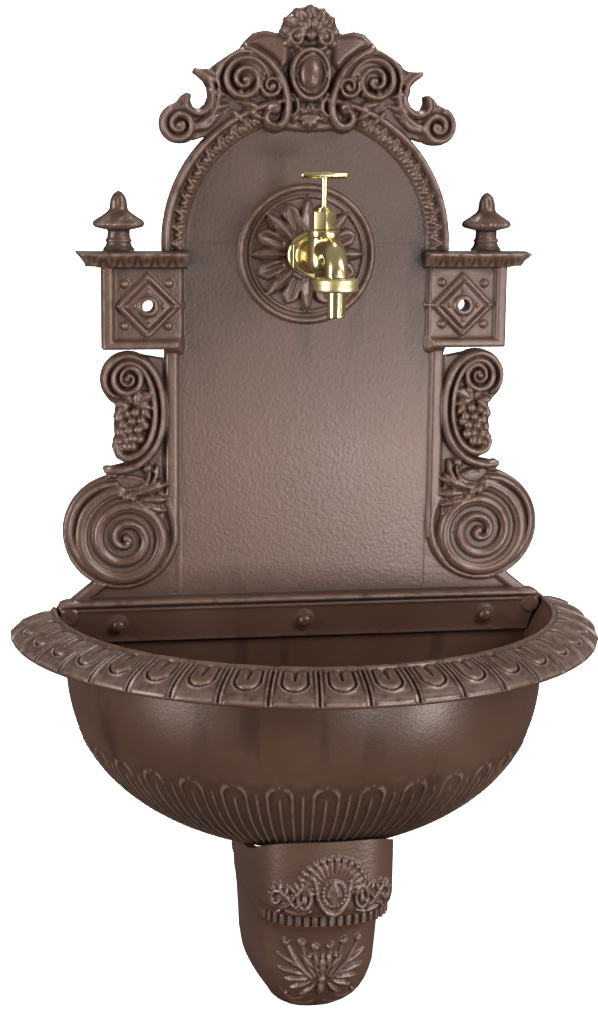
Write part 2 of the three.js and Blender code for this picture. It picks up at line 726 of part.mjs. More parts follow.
function bracketOrnament() {
  const forms = [];
  // Upper cast: a ribbed shell with a shield, leaf scrolls beside it, then a row of dentils.
  forms.push(bracketBoss(0, 0.24, 30, 44, 6));
  for (let i = 0; i < 9; i++) {
    const angle = Math.PI * (i / 8 - 0.5) * 1.1;
    forms.push(bracketBoss(0.3 * Math.sin(angle), 0.24 - 0.12 * Math.cos(angle), 6, 13, 4.4, angle));
  }
  for (const side of [-1, 1]) {
    forms.push(bracketBoss(side * 0.36, 0.29, 16, 18, 4.5, side * 0.5));
    forms.push(bracketBoss(side * 0.52, 0.22, 14, 20, 4.5, side * -0.5));
    forms.push(bracketBoss(side * 0.66, 0.25, 9, 16, 4, side * 0.7));
    // Lower cast: a spray of leaves.
    forms.push(bracketBoss(side * 0.42, 0.7, 9, 30, 4, side * 0.9));
    forms.push(bracketBoss(side * 0.2, 0.68, 9, 24, 4.6, side * 0.35));
    forms.push(bracketBoss(side * 0.3, 0.79, 20, 9, 4, side * 0.2));
  }
  forms.push(bracketBoss(0, 0.74, 14, 26, 5.5));
  const dentils = 11;
  for (let i = 0; i < dentils; i++) {
    const { x, out, below, facing } = bracketFace(-0.82 + 1.64 * i / (dentils - 1), 0.405);
    forms.push(solidOf(new THREE.BoxGeometry(4, 4, 8).rotateZ(facing).translate(x, -out, -below)));
  }
  return join(forms);
}

// Brass tap: everything stands on the inlet's axis and the upright axis of the spindle.
function upright(radius, bottom, top, sides, turn = 0, topRadius = radius) {
  return new THREE.CylinderGeometry(topRadius, radius, top - bottom, sides)
    .rotateX(QUARTER).rotateZ(turn).translate(0, -spindleOut, (top + bottom) / 2);
}

function outward(radius, from, to, sides) {
  return new THREE.CylinderGeometry(radius, radius, to - from, sides)
    .translate(0, -(from + to) / 2, rosetteHeight);
}

function rosetteSeat() {
  return fieldFront + 3.5;
}

function tapBodySolid() {
  const spoutDrop = nutBottom + nutHeight;
  const spoutPath = new THREE.CatmullRomCurve3([
    new THREE.Vector3(0, -spindleOut, rosetteHeight + 4),
    new THREE.Vector3(0, -(spindleOut + 14), rosetteHeight + 7),
    new THREE.Vector3(0, -(outletOut - 14), rosetteHeight + 4),
    new THREE.Vector3(0, -(outletOut - 2), spoutDrop + 4.5),
    new THREE.Vector3(0, -outletOut, spoutDrop + touchGap),
  ]);
  const spout = new THREE.ExtrudeGeometry(ellipse(0, 0, 8), { steps: 8, extrudePath: spoutPath, curveSegments: 5 });
  const below = new THREE.BoxGeometry(60, 60, 40).translate(0, -outletOut, spoutDrop + touchGap - 20);
  const seat = rosetteSeat() + touchGap;
  const forms = [
    outward(tailRadius, 0.5, seat + 1, 16),
    outward(inletRadius, seat, inletFront - 9, 16),
    outward(inletRadius * 1.02, inletFront - 9, inletFront, 6),
    outward(bodyRadius * 0.92, inletFront - 1, spindleOut, 18),
    upright(bodyRadius, rosetteHeight - 9, bodyTop - 4.5, 18),
    upright(bodyRadius * 0.55, rosetteHeight - 14, rosetteHeight - 8.5, 18, 0, bodyRadius),
    upright(bodyRadius * 0.92, bodyTop - 5, bodyTop, 18),
    spout,
  ].map(solidOf);
  return join(forms).subtract(solidOf(below));
}

function bonnetSolid() {
  const seat = bodyTop + touchGap;
  const hex = bonnetAcross / 2 / Math.cos(Math.PI / 6);
  const neck = bonnetTop - 2.5;
  const forms = [
    upright(hex, seat, neck, 6), upright(hex * 0.62, neck - 1, bonnetTop, 12),
  ].map(solidOf);
  const bore = solidOf(upright(spindleRadius + runningGap, neck - 9, bonnetTop + 5, 16));
  return join(forms).subtract(bore);
}

function handleSolid() {
  const spindle = upright(spindleRadius, bonnetTop - 11, barHeight, 16);
  const bar = new THREE.CylinderGeometry(barRadius, barRadius, barLength, 12)
    .rotateZ(QUARTER).translate(0, -spindleOut, barHeight);
  return join([spindle, bar].map(solidOf));
}

function outletRound(radius, bottom, top, sides) {
  return upright(radius, bottom, top, sides).translate(0, spindleOut - outletOut, 0);
}

function nutSolid() {
  const top = nutBottom + nutHeight;
  const ring = solidOf(outletRound(nutRadius, nutBottom, top, 24));
  return ring.subtract(solidOf(outletRound(tubeRadius + touchGap, nutBottom - 1, top + 1, 16)));
}

function tubeSolid() {
  const top = nutBottom + nutHeight - 1;
  const tube = solidOf(outletRound(tubeRadius, tubeBottom, top, 16));
  return tube.subtract(solidOf(outletRound(tubeBore, tubeBottom - 1, top + 1, 16)));
}

// The plate is drawn facing +Z, so it is turned upright when it is placed.
function plateSolid() {
  const flat = join([
    ...[fieldLayers(), blockLayers(), corniceLayers(), finialForms(), wingForms(), rosetteForms()]
      .flat().map(solidOf),
    crestForms(),
    flangeForms(),
  ]);
  const wall = solidOf(new THREE.BoxGeometry(beyond, beyond, beyond).translate(0, 0, -beyond / 2));
  const tapHole = new THREE.CylinderGeometry(tailRadius + touchGap, tailRadius + touchGap, 60, 16)
    .rotateX(QUARTER).translate(0, rosetteHeight, 0);
  const upstanding = flat.subtract(wall).subtract(join(screwHoles().map(solidOf)))
    .subtract(solidOf(tapHole));
  return solidOf(geometryOf(upstanding).rotateX(QUARTER)).subtract(boltHoles());
}

function piece(name, solid, finish) {
  const geometry = geometryOf(withoutPockets(solid));
  const mesh = new THREE.Mesh(geometry, new THREE.MeshStandardMaterial(finish));
  mesh.name = name;
  return mesh;
}

const castings = new THREE.Group();
castings.add(piece("back_plate", plateSolid(), castPaint));
castings.add(piece("basin", basinSolid(), castPaint));
castings.add(piece("bracket", bracketSolid(), castPaint));
for (const [side, x] of boltPlaces()) castings.add(piece("basin_bolt_" + side, boltSolid(x), castPaint));

const tap = new THREE.Group();
tap.add(piece("tap_body", tapBodySolid(), polishedBrass));
tap.add(piece("tap_bonnet", bonnetSolid(), polishedBrass));
tap.add(piece("tap_handle", handleSolid(), polishedBrass));
tap.add(piece("tap_union_nut", nutSolid(), polishedBrass));
tap.add(piece("tap_outlet_tube", tubeSolid(), polishedBrass));

const hung = new THREE.Group();
hung.add(castings, tap);
hung.position.z = -screwLine;

const fountain = new THREE.Group();
fountain.add(hung);
export default fountain;
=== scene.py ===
# %% [markdown]
# # A cast wall fountain
#
# The real thing is a set of painted castings hung on a wall: an arched back plate with scrolls
# and a crest, a half-round basin bolted to its foot, a hollow bracket under the basin, and a
# polished brass tap. The CAD model gives every size. Here it gets its fine relief, its paint
# and its brass, piece by piece.
#
# We start by loading the CAD model. Its pieces never move: what we model lies exactly over them.

# %% Load the CAD model
import math
import bmesh
import bpy
import numpy as np
from mathutils import Matrix, Vector


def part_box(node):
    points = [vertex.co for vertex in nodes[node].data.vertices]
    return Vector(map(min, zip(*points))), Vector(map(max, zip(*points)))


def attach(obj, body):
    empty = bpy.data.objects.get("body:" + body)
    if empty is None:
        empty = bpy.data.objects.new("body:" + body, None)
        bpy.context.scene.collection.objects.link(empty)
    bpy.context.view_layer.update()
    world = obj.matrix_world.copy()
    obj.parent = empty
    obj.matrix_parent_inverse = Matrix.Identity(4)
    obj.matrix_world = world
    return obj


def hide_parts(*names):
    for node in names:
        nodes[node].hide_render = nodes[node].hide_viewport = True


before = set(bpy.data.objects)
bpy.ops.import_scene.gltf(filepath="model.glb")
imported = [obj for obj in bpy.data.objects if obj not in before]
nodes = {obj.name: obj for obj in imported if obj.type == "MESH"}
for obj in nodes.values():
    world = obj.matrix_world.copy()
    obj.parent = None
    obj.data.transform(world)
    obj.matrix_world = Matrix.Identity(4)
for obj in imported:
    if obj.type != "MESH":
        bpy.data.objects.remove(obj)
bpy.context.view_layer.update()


def deselect_all():
    """Operators act on whatever is selected, and loading leaves the CAD pieces selected."""
    if bpy.context.object and bpy.context.object.mode != "OBJECT":
        bpy.ops.object.mode_set(mode="OBJECT")
    bpy.ops.object.select_all(action="DESELECT")


def pick(piece):
    """Makes one object the selected and active one."""
    deselect_all()
    bpy.context.view_layer.objects.active = piece
    piece.select_set(True)


def placed(name, data):
    """A new object in the scene, at the origin."""
    made = bpy.data.objects.new(name, data)
    bpy.context.collection.objects.link(made)
    return made


def apply_modifier(piece, kind, **settings):
    """Adds a modifier with its settings and applies it at once."""
    pick(piece)
    step = piece.modifiers.new(kind.lower(), kind)
    for key, value in settings.items():
        setattr(step, key, value)
    bpy.ops.object.modifier_apply(modifier=step.name)


deselect_all()

# %% [markdown]
# ## The camera
#
# The photo was taken a little from the left and from above, through a fairly long lens. The
# camera stands where straight edges and circles of the fountain fall on their places in the
# photo. Distances are in metres, with the wall face at y = 0.

# %% Camera
CAMERA_PLACE = (-0.2661, -1.4772, 0.1226)
CAMERA_YAW = math.radians(10.12)
CAMERA_PITCH = math.radians(10.50)
CAMERA_ROLL = math.radians(0.58)
FOCAL_PIXELS = 2036.0
IMAGE_HEIGHT = 1024


def camera_axes():
    """Right, up and forward of the camera as it stood."""
    cy, sy = math.cos(CAMERA_YAW), math.sin(CAMERA_YAW)
    cp, sp = math.cos(CAMERA_PITCH), math.sin(CAMERA_PITCH)
    forward = Vector((sy * cp, cy * cp, -sp))
    level = Vector((cy, -sy, 0))
    above = level.cross(forward)
    cr, sr = math.cos(CAMERA_ROLL), math.sin(CAMERA_ROLL)
    return level * cr + above * sr, above * cr - level * sr, forward


right, above, forward = camera_axes()
lens = bpy.data.cameras.new("fountain_camera")
camera = placed("fountain_camera", lens)
lens.sensor_width = 36
lens.lens = FOCAL_PIXELS * lens.sensor_width / IMAGE_HEIGHT
turn = Matrix((right, above, -forward)).transposed().to_4x4()
camera.matrix_world = Matrix.Translation(CAMERA_PLACE) @ turn
bpy.context.scene.camera = camera
print("lens", round(lens.lens, 2), "mm")

# %% [markdown]
# ## Floor, backdrop and light
#
# The photo shows the fountain on plain white. A pale sheet that runs from the floor up behind
# it does the same, far enough back to take no shadow and to leave room for a look from behind.
# Soft lamps light the relief: the main one from the upper right, one beside the camera that
# gives the flat panel its broad sheen, one from the left, a weak one from low on the right, and
# one from behind for the back.

# %% Floor and backdrop
FLOOR_LEVEL = -0.95


def curved_sheet(name, back, radius, half_width, height):
    """A floor that curves up into a wall: a strip of edges pulled sideways."""
    line = [(-3.0, FLOOR_LEVEL), (back - radius, FLOOR_LEVEL)]
    for i in range(1, 13):
        a = math.pi / 2 * i / 12
        line.append((back - radius + radius * math.sin(a), FLOOR_LEVEL + radius * (1 - math.cos(a))))
    line.append((back, height))
    mesh = bpy.data.meshes.new(name)
    verts = [(x, y, z) for y, z in line for x in (-half_width, half_width)]
    faces = [(2 * i, 2 * i + 1, 2 * i + 3, 2 * i + 2) for i in range(len(line) - 1)]
    mesh.from_pydata(verts, [], faces)
    for face in mesh.polygons:
        face.use_smooth = True
    return placed(name, mesh)


backdrop = curved_sheet("backdrop", 4.8, 0.8, 12.0, 9.0)
paper = bpy.data.materials.new("backdrop_paper")
paper.use_nodes = True
sheet_skin = paper.node_tree.nodes["Principled BSDF"]
sheet_skin.inputs["Roughness"].default_value = 0.9
sheet_skin.inputs["Base Color"].default_value = (0.92, 0.92, 0.92, 1)
backdrop.data.materials.append(paper)
# The room in the photo was too dark to show in the paint, so the sheet throws no light back.
backdrop.visible_glossy = False
backdrop.visible_diffuse = False


# %% Lamps
def soft_lamp(name, place, target, size, watts):
    lamp = bpy.data.lights.new(name, "AREA")
    lamp.shape = "RECTANGLE"
    lamp.size, lamp.size_y = size
    lamp.energy = watts
    holder = bpy.data.objects.new(name, lamp)
    bpy.context.collection.objects.link(holder)
    holder.location = place
    holder.rotation_euler = (Vector(target) - Vector(place)).to_track_quat("-Z", "Y").to_euler()
    return holder


soft_lamp("main_lamp", (1.3, -1.5, 1.0), (0, 0, -0.1), (0.9, 1.1), 34)
soft_lamp("sheen_lamp", (0.58, -1.75, -0.34), (0, 0, -0.08), (0.3, 0.3), 11)
soft_lamp("side_lamp", (-1.8, -0.7, 0.0), (0, 0, -0.25), (0.5, 1.4), 33)
soft_lamp("low_lamp", (1.25, -1.15, -0.55), (0.1, -0.1, -0.3), (0.5, 0.5), 10)
soft_lamp("rear_lamp", (0.3, 2.0, 2.8), (0, 0, 0), (0.8, 0.8), 40)
soft_lamp("backdrop_lamp", (0.5, 1.6, 2.4), (0.8, 4.8, 1.2), (3.0, 1.0), 560)

world = bpy.data.worlds.new("studio_air")
bpy.context.scene.world = world
world.use_nodes = True
# The air is bright above and dim below, as in a studio with a dark floor.
air_nodes, air_links = world.node_tree.nodes, world.node_tree.links
air = air_nodes["Background"]
air.inputs["Color"].default_value = (1, 1, 1, 1)
air_place = air_nodes.new("ShaderNodeTexCoord")
air_axes = air_nodes.new("ShaderNodeSeparateXYZ")
air_height = air_nodes.new("ShaderNodeMapRange")
for label, value in (("From Min", -0.5), ("From Max", 0.7), ("To Min", 0.04), ("To Max", 0.27)):
    air_height.inputs[label].default_value = value
air_links.new(air_place.outputs["Generated"], air_axes.inputs[0])
air_links.new(air_axes.outputs["Z"], air_height.inputs["Value"])
air_links.new(air_height.outputs[0], air.inputs["Strength"])
bpy.context.scene.view_settings.view_transform = "Standard"

# %% [markdown]
# ## The clay board
#
# A casting is pressed from a carved pattern, and all its ornament is relief: it can be
# described by how far each point stands out. So the patterns are carved here the way a
# pattern maker does it, on a flat board of clay. The board is a fine grid of heights in
# millimetres. Ridges, leaves, beads and panels are laid on it and melt into each other, which
# gives the soft valleys of a casting. Only then does the board become a mesh. Box modelling
# with edge loops could not keep so many fused scrolls and leaves clean.

# %% The clay board
def melt(a, b, k=0.8):
    """The higher of two surfaces, with a soft valley k wide where they cross."""
    t = np.clip(0.5 + 0.5 * (b - a) / k, 0, 1)
    return a * (1 - t) + b * t + k * t * (1 - t)


def round_top(share):
    """The height of a half circle, from 1 in its middle to 0 at its edge."""
    return np.sqrt(np.clip(1 - share ** 2, 0, 1))


def spoke(cx, cz, degrees, reach, reach_up=None):
    """A point round a centre; the second reach makes the round an oval."""
    a = math.radians(degrees)
    return cx + reach * math.cos(a), cz + (reach_up or reach) * math.sin(a)


def rect_distance(x, z, x0, x1, z0, z1):
    dx = np.abs(x - (x0 + x1) / 2) - (x1 - x0) / 2
    dz = np.abs(z - (z0 + z1) / 2) - (z1 - z0) / 2
    outside = np.hypot(np.maximum(dx, 0), np.maximum(dz, 0))
    return outside + np.minimum(np.maximum(dx, dz), 0)


def disc_distance(x, z, cx, cz, rx, rz=None):
    rz = rz or rx
    return (np.hypot((x - cx) / rx, (z - cz) / rz) - 1) * min(rx, rz)


def polygon_distance(x, z, points):
    """Distance to a polygon's edge, negative inside."""
    nearest = np.full(x.shape, 1e9)
    inside = np.zeros(x.shape, bool)
    for (x0, z0), (x1, z1) in zip(points, points[1:] + points[:1]):
        ex, ez = x1 - x0, z1 - z0
        t = np.clip(((x - x0) * ex + (z - z0) * ez) / (ex * ex + ez * ez), 0, 1)
        nearest = np.minimum(nearest, np.hypot(x - x0 - t * ex, z - z0 - t * ez))
        crosses = (z0 > z) != (z1 > z)
        if z0 != z1:
            inside ^= crosses & (x < x0 + (z - z0) / (z1 - z0) * ex)
    return np.where(inside, -nearest, nearest)


def curve_through(points, per_span=8):
    """A smooth curve through points: a Catmull-Rom spline. Extra columns, such as a width,
    are carried along."""
    p = np.array(points, float)
    p = np.vstack([2 * p[0] - p[1], p, 2 * p[-1] - p[-2]])
    out = []
    for i in range(1, len(p) - 2):
        for s in range(per_span):
            t = s / per_span
            a = 2 * p[i]
            b = p[i + 1] - p[i - 1]
            c = 2 * p[i - 1] - 5 * p[i] + 4 * p[i + 1] - p[i + 2]
            d = -p[i - 1] + 3 * p[i] - 3 * p[i + 1] + p[i + 2]
            out.append((a + b * t + c * t * t + d * t ** 3) / 2)
    out.append(p[-2])
    return np.array(out)


def spiral(cx, cz, start_degrees, turns, start, end, steps=48):
    """Points of a spiral that runs clockwise inwards; negative turns run the other way."""
    t = np.linspace(0, 1, max(int(steps * abs(turns)), 8))
    a = math.radians(start_degrees) - 2 * math.pi * turns * t
    r = start + (end - start) * t
    return np.stack([cx + r * np.cos(a), cz + r * np.sin(a)], 1)


class Board:
    """Heights over a flat drawing: x across, z up, and out from the board."""

    def __init__(self, left, right, low, high, step, ground=0.0):
        self.step = step
        self.x = np.arange(left, right + step / 2, step)
        self.z = np.arange(low, high + step / 2, step)
        self.X, self.Z = np.meshgrid(self.x, self.z)
        self.out = np.full(self.X.shape, float(ground))
        self.rim = np.full(self.X.shape, 99.0)  # distance to the outline, negative inside

    def part(self, x0, x1, z0, z1, margin=4):
        i = slice(*np.searchsorted(self.x, (x0 - margin, x1 + margin)))
        j = slice(*np.searchsorted(self.z, (z0 - margin, z1 + margin)))
        return (j, i), self.X[j, i], self.Z[j, i]

    def outline(self, where, distance):
        self.rim[where] = np.minimum(self.rim[where], distance)

    def lay(self, where, top, mask, k=0.0):
        """Raises a part of the board to a surface, only where the mask is true."""
        old = self.out[where]
        self.out[where] = np.where(mask, melt(old, top, k) if k else np.maximum(old, top), old)

    def panel(self, distance, box, out, bevel=1.0, draft=2.2, shape=True, k=0.6):
        """A flat raised shape with a rounded edge and sides that lean like a pattern's."""
        where, x, z = self.part(*box)
        d = distance(x, z)
        depth = np.clip(-d / bevel, 0, 1)
        top = out - bevel * (1 - np.sqrt(1 - (1 - depth) ** 2)) - np.maximum(d, 0) * draft
        self.out[where] = melt(self.out[where], top, k)
        if shape:
            self.outline(where, d)

    def ridge(self, points, half, rise, base, shape=False, k=0.7, groove=0.0, flat=0.0):
        """A rounded ridge along a curve. half and rise are numbers, or vary along it."""
        p = np.asarray(points, float)[:, :2]
        count = len(p)
        half, rise, base = (np.interp(np.linspace(0, 1, count), np.linspace(0, 1, np.size(v)), np.atleast_1d(v))
                            for v in (half, rise, base))
        reach = half.max()
        where, x, z = self.part(p[:, 0].min() - reach, p[:, 0].max() + reach,
                                p[:, 1].min() - reach, p[:, 1].max() + reach)
        if not x.size:
            return
        best = np.full(x.shape, 1e9)
        w, h, b, side = (np.zeros(x.shape) for _ in range(4))
        for i in range(count - 1):
            ex, ez = p[i + 1] - p[i]
            length2 = ex * ex + ez * ez
            if length2 < 1e-12:
                continue
            t = np.clip(((x - p[i, 0]) * ex + (z - p[i, 1]) * ez) / length2, 0, 1)
            dx, dz = x - p[i, 0] - t * ex, z - p[i, 1] - t * ez
            d = np.hypot(dx, dz)
            local = half[i] + (half[i + 1] - half[i]) * t
            score = d / local
            near = score < best
            best = np.where(near, score, best)
            w = np.where(near, local, w)
            h = np.where(near, rise[i] + (rise[i + 1] - rise[i]) * t, h)
            b = np.where(near, base[i] + (base[i + 1] - base[i]) * t, b)
            side = np.where(near, np.sign(dx * ez - dz * ex), side)
        over = np.clip((best - flat) / (1 - flat), 0, None) if flat else best
        top = b + h * round_top(over) - np.maximum(best - 1, 0) * w * 2.4
        if groove:
            top = top - groove * np.exp(-((best * side - 0.42) * w / 0.75) ** 2)
        self.out[where] = melt(self.out[where], top, k)
        if shape:
            self.outline(where, (best - 1) * w)

    def bead(self, cx, cz, radius, rise, base, rz=None, k=0.4, shape=False):
        rz = rz or radius
        where, x, z = self.part(cx - radius, cx + radius, cz - rz, cz + rz)
        if not x.size:
            return
        d = np.hypot((x - cx) / radius, (z - cz) / rz)
        top = base + rise * round_top(d) - np.maximum(d - 1, 0) * radius * 2.4
        self.out[where] = melt(self.out[where], top, k)
        if shape:
            self.outline(where, (d - 1) * min(radius, rz))

    def carve(self, points, half, depth):
        """A groove with soft lips along a curve."""
        p = np.asarray(points, float)[:, :2]
        where, x, z = self.part(p[:, 0].min(), p[:, 0].max(), p[:, 1].min(), p[:, 1].max(), 3 * half + 1)
        best = np.full(x.shape, 1e9)
        for (x0, z0), (x1, z1) in zip(p[:-1], p[1:]):
            ex, ez = x1 - x0, z1 - z0
            t = np.clip(((x - x0) * ex + (z - z0) * ez) / max(ex * ex + ez * ez, 1e-9), 0, 1)
            best = np.minimum(best, np.hypot(x - x0 - t * ex, z - z0 - t * ez))
        self.out[where] -= depth * np.exp(-(best / half) ** 2)

    def leaf(self, cx, cz, length, width, rise, base, degrees, lobes=0, veins=0.0, tip=0.55,
             hollow=0.0, k=0.5, shape=False, bend=0.0):
        """A leaf from its root at (cx, cz): a rounded blade with a middle vein. lobes notch its
        edge, veins rib it, hollow sinks its middle, bend curls it sideways, tip places its
        widest point."""
        a = math.radians(degrees)
        reach = length + width
        where, x, z = self.part(cx - reach, cx + reach, cz - reach, cz + reach)
        if not x.size:
            return
        along = ((x - cx) * math.cos(a) + (z - cz) * math.sin(a)) / length
        across = (-(x - cx) * math.sin(a) + (z - cz) * math.cos(a)) - bend * along ** 2 * length
        t = np.clip(along, 0, 1)
        blade = np.where(t < tip, np.sin(np.pi / 2 * np.clip(t / tip, 0, 1)) ** 0.7,
                         np.cos(np.pi / 2 * (t - tip) / (1 - tip)) ** 0.8)
        if lobes:
            blade = blade * (1 - 0.28 * np.abs(np.sin(np.pi * lobes * (t + 0.1 * np.abs(across) / width))))
        half = np.maximum(width / 2 * blade, 0.15)
        beyond = np.maximum(np.maximum(-along, along - 1), 0) * length
        d = np.hypot(np.maximum(np.abs(across) - half, 0), beyond)
        share = np.clip(np.abs(across) / half, 0, 1)
        top = base + rise * round_top(share) * (0.55 + 0.45 * np.sin(np.pi * np.clip(t, 0, 1)))
        top = top - hollow * np.exp(-(across / (0.42 * half + 0.3)) ** 2) * np.sin(np.pi * t)
        if veins:
            rib = np.cos(2 * np.pi * (lobes or 4) * (t - 0.35 * np.abs(across) / width))
            top = top + veins * 0.5 * rib * share
            top = top + veins * np.exp(-(across / 0.7) ** 2)
        top = top - d * 2.6
        self.out[where] = melt(self.out[where], top, k)
        if shape:
            self.outline(where, np.where(d > 0, d, np.abs(across) - half))

    def height_at(self, x, z, layer=None):
        """Bilinear reading of the board, or of another layer of the same size."""
        grid = self.out if layer is None else layer
        fx = np.clip((x - self.x[0]) / self.step, 0, len(self.x) - 1.001)
        fz = np.clip((z - self.z[0]) / self.step, 0, len(self.z) - 1.001)
        i, j = fx.astype(int), fz.astype(int)
        tx, tz = fx - i, fz - j
        low = grid[j, i] * (1 - tx) + grid[j, i + 1] * tx
        high = grid[j + 1, i] * (1 - tx) + grid[j + 1, i + 1] * tx
        return low * (1 - tz) + high * tz


def blurred(grid, passes):
    """A grid smoothed by repeated averaging with its neighbours."""
    g = grid.copy()
    for _ in range(passes):
        g[1:-1] = (g[:-2] + 2 * g[1:-1] + g[2:]) / 4
        g[:, 1:-1] = (g[:, :-2] + 2 * g[:, 1:-1] + g[:, 2:]) / 4
    return g


def relief_marks(grid, step, reach=2.0, strength=1.2):
    """How much each point is a worn crest or a dark hollow, both from 0 to 1."""
    passes = max(int((reach / step) ** 2), 2)
    swell = (grid - blurred(grid, passes)) / strength
    return np.clip(swell, 0, 1), np.clip(-swell, 0, 1)


# %% [markdown]
# A board becomes a casting in two steps. The front is cut out along the outline, so that
# edge points slide exactly onto it, and then the outline is drawn back to the wall and closed.

# %% From board to mesh
def cut_out(board, inside):
    """Triangles of the front, with the outline's points slid onto it: marching squares."""
    rows, cols = inside.shape
    index = {}
    points = []

    def at(j, i):
        key = (j, i)
        if key not in index:
            index[key] = len(points)
            points.append((board.x[i], board.z[j]))
        return index[key]

    def between(j0, i0, j1, i1):
        key = (j0, i0, j1, i1) if (j0, i0) < (j1, i1) else (j1, i1, j0, i0)
        if key not in index:
            a, b = inside[j0, i0], inside[j1, i1]
            t = min(max(a / (a - b), 0.02), 0.98)
            index[key] = len(points)
            points.append((board.x[i0] + (board.x[i1] - board.x[i0]) * t,
                           board.z[j0] + (board.z[j1] - board.z[j0]) * t))
        return index[key]

    faces = []
    full = inside < 0
    for j in range(rows - 1):
        for i in range(cols - 1):
            corners = ((j, i), (j, i + 1), (j + 1, i + 1), (j + 1, i))
            state = [full[c] for c in corners]
            if not any(state):
                continue
            if all(state):
                faces.append([at(*c) for c in corners])
                continue
            face = []
            for k in range(4):
                here, after = corners[k], corners[(k + 1) % 4]
                if full[here]:
                    face.append(at(*here))
                if full[here] != full[after]:
                    face.append(between(*here, *after))
            if len(face) >= 3:
                faces.append(face)
    return np.array(points), faces


SCREW_LINE = 31.3  # the drawings' zero is this far below the wall screws, which are at z = 0


def from_bmesh(name, mesh):
    """An object from a finished bmesh, with a count of the edges that aren't closed."""
    print(name, "open edges:", sum(len(e.link_faces) != 2 for e in mesh.edges))
    data = bpy.data.meshes.new(name)
    mesh.to_mesh(data)
    mesh.free()
    return placed(name, data)


def in_fixed_order(mesh):
    """Sorts points, edges and faces by their place, so that each run gives the same mesh."""
    def settle(parts, key):
        for number, part in enumerate(sorted(parts, key=key)):
            part.index = number
        parts.sort()

    settle(mesh.verts, lambda v: tuple(v.co))
    settle(mesh.edges, lambda e: sorted(v.index for v in e.verts))
    settle(mesh.faces, lambda f: sorted(v.index for v in f.verts))


def casting_from(board, name):
    """Cuts the front out of the board, gives it sides and a back at the wall, and mirrors it."""
    points, faces = cut_out(board, board.rim)
    out = board.height_at(points[:, 0], points[:, 1])
    mesh = bmesh.new()
    front = [mesh.verts.new((x / 1000, -o / 1000, (z - SCREW_LINE) / 1000)) for (x, z), o in zip(points, out)]
    for face in faces:
        mesh.faces.new([front[i] for i in face])
    rim_edges = [e for e in mesh.edges if len(e.link_faces) == 1 and max(abs(v.co.x) for v in e.verts) > 1e-6]
    for v in bmesh.ops.extrude_edge_only(mesh, edges=rim_edges)["geom"]:
        if isinstance(v, bmesh.types.BMVert):
            v.co.y = 0
    # The half is copied across x = 0 and welded there.
    half = list(mesh.verts) + list(mesh.edges) + list(mesh.faces)
    other = bmesh.ops.duplicate(mesh, geom=half)["geom"]
    for v in other:
        if isinstance(v, bmesh.types.BMVert):
            v.co.x = -v.co.x
    bmesh.ops.reverse_faces(mesh, faces=[f for f in other if isinstance(f, bmesh.types.BMFace)])
    bmesh.ops.remove_doubles(mesh, verts=[v for v in mesh.verts if abs(v.co.x) < 1e-6], dist=1e-6)
    in_fixed_order(mesh)
    open_edges = [e for e in mesh.edges if len(e.link_faces) == 1]
    bmesh.ops.triangle_fill(mesh, edges=open_edges, use_beauty=True)
    bmesh.ops.recalc_face_normals(mesh, faces=mesh.faces)
    in_fixed_order(mesh)
    return from_bmesh(name, mesh)


# Triangles kept in each carved piece, and how straight back a face looks that counts as flat.
PLATE_FACES, BASIN_FACES, BRACKET_FACES = 150000, 186000, 120000
STRAIGHT_BACK = 0.9995


def lightened(piece, target):
    """Fewer triangles where the surface is flat, all of them where it is carved."""
    count = sum(len(f.vertices) - 2 for f in piece.data.polygons)
    if count > target:
        apply_modifier(piece, "DECIMATE", ratio=target / count)


def without_long_edges(piece, longest, behind=-0.001):
    """Halves long edges on the front until none is left, so that marks stay where they are put."""
    mesh = bmesh.new()
    mesh.from_mesh(piece.data)
    bmesh.ops.triangulate(mesh, faces=mesh.faces)
    for _ in range(8):
        long_edges = [e for e in mesh.edges if e.calc_length() > longest
                      and max(v.co.y for v in e.verts) < behind]
        if not long_edges:
            break
        bmesh.ops.subdivide_edges(mesh, edges=long_edges, cuts=1)
        bmesh.ops.triangulate(mesh, faces=[f for f in mesh.faces if len(f.verts) > 3])
    mesh.to_mesh(piece.data)
    mesh.free()


def smooth_to(piece, degrees):
    """Smooth shading that stays crisp at edges sharper than the angle; a flat back stays flat."""
    pick(piece)
    bpy.ops.object.shade_smooth_by_angle(angle=math.radians(degrees))
    for face in piece.data.polygons:
        if face.normal.y > STRAIGHT_BACK:
            face.use_smooth = False


def mark_relief(piece, worn, hollow):
    """Stores on each point how worn and how hollow it is, for the paint to read. Where the callers put them in, the
    worn mark also carries a painted highlight and the hollow mark a painted shade.
    """
    for key, values in (("worn", worn), ("hollow", hollow)):
        layer = piece.data.attributes.new(key, "FLOAT", "POINT")
        layer.data.foreach_set("value", np.asarray(values, np.float32))


def points_of(piece):
    flat = np.empty(len(piece.data.vertices) * 3)
    piece.data.vertices.foreach_get("co", flat)
    return flat.reshape(-1, 3)


def mark_grid(piece, grid, worn, hollow):
    """Marks the carved grid, whose points come first in the mesh. The plain rest gets none."""
    marks = np.zeros((2, len(piece.data.vertices)))
    marks[0, :grid.size] = worn.ravel()
    marks[1, :grid.size] = np.maximum(hollow, np.clip(-grid / 1.6, 0, 1)).ravel()
    mark_relief(piece, *marks)


def kept_inside(piece, node, margin):
    """Moves the points that stand out of the CAD piece's box back into it."""
    low, high = (np.array(corner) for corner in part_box(node))
    places = np.clip(points_of(piece), low + margin, high - margin)
    piece.data.vertices.foreach_set("co", places.ravel())


def stands_for(piece, node, body, material, degrees=50):
    """Paints and shades a piece, hides the CAD piece it replaces, and hangs it on the body it rides on."""
    piece.data.materials.clear()
    piece.data.materials.append(material)
    smooth_to(piece, degrees)
    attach(piece, body)
    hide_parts(node)
    print(piece.name, len(piece.data.polygons), "faces")
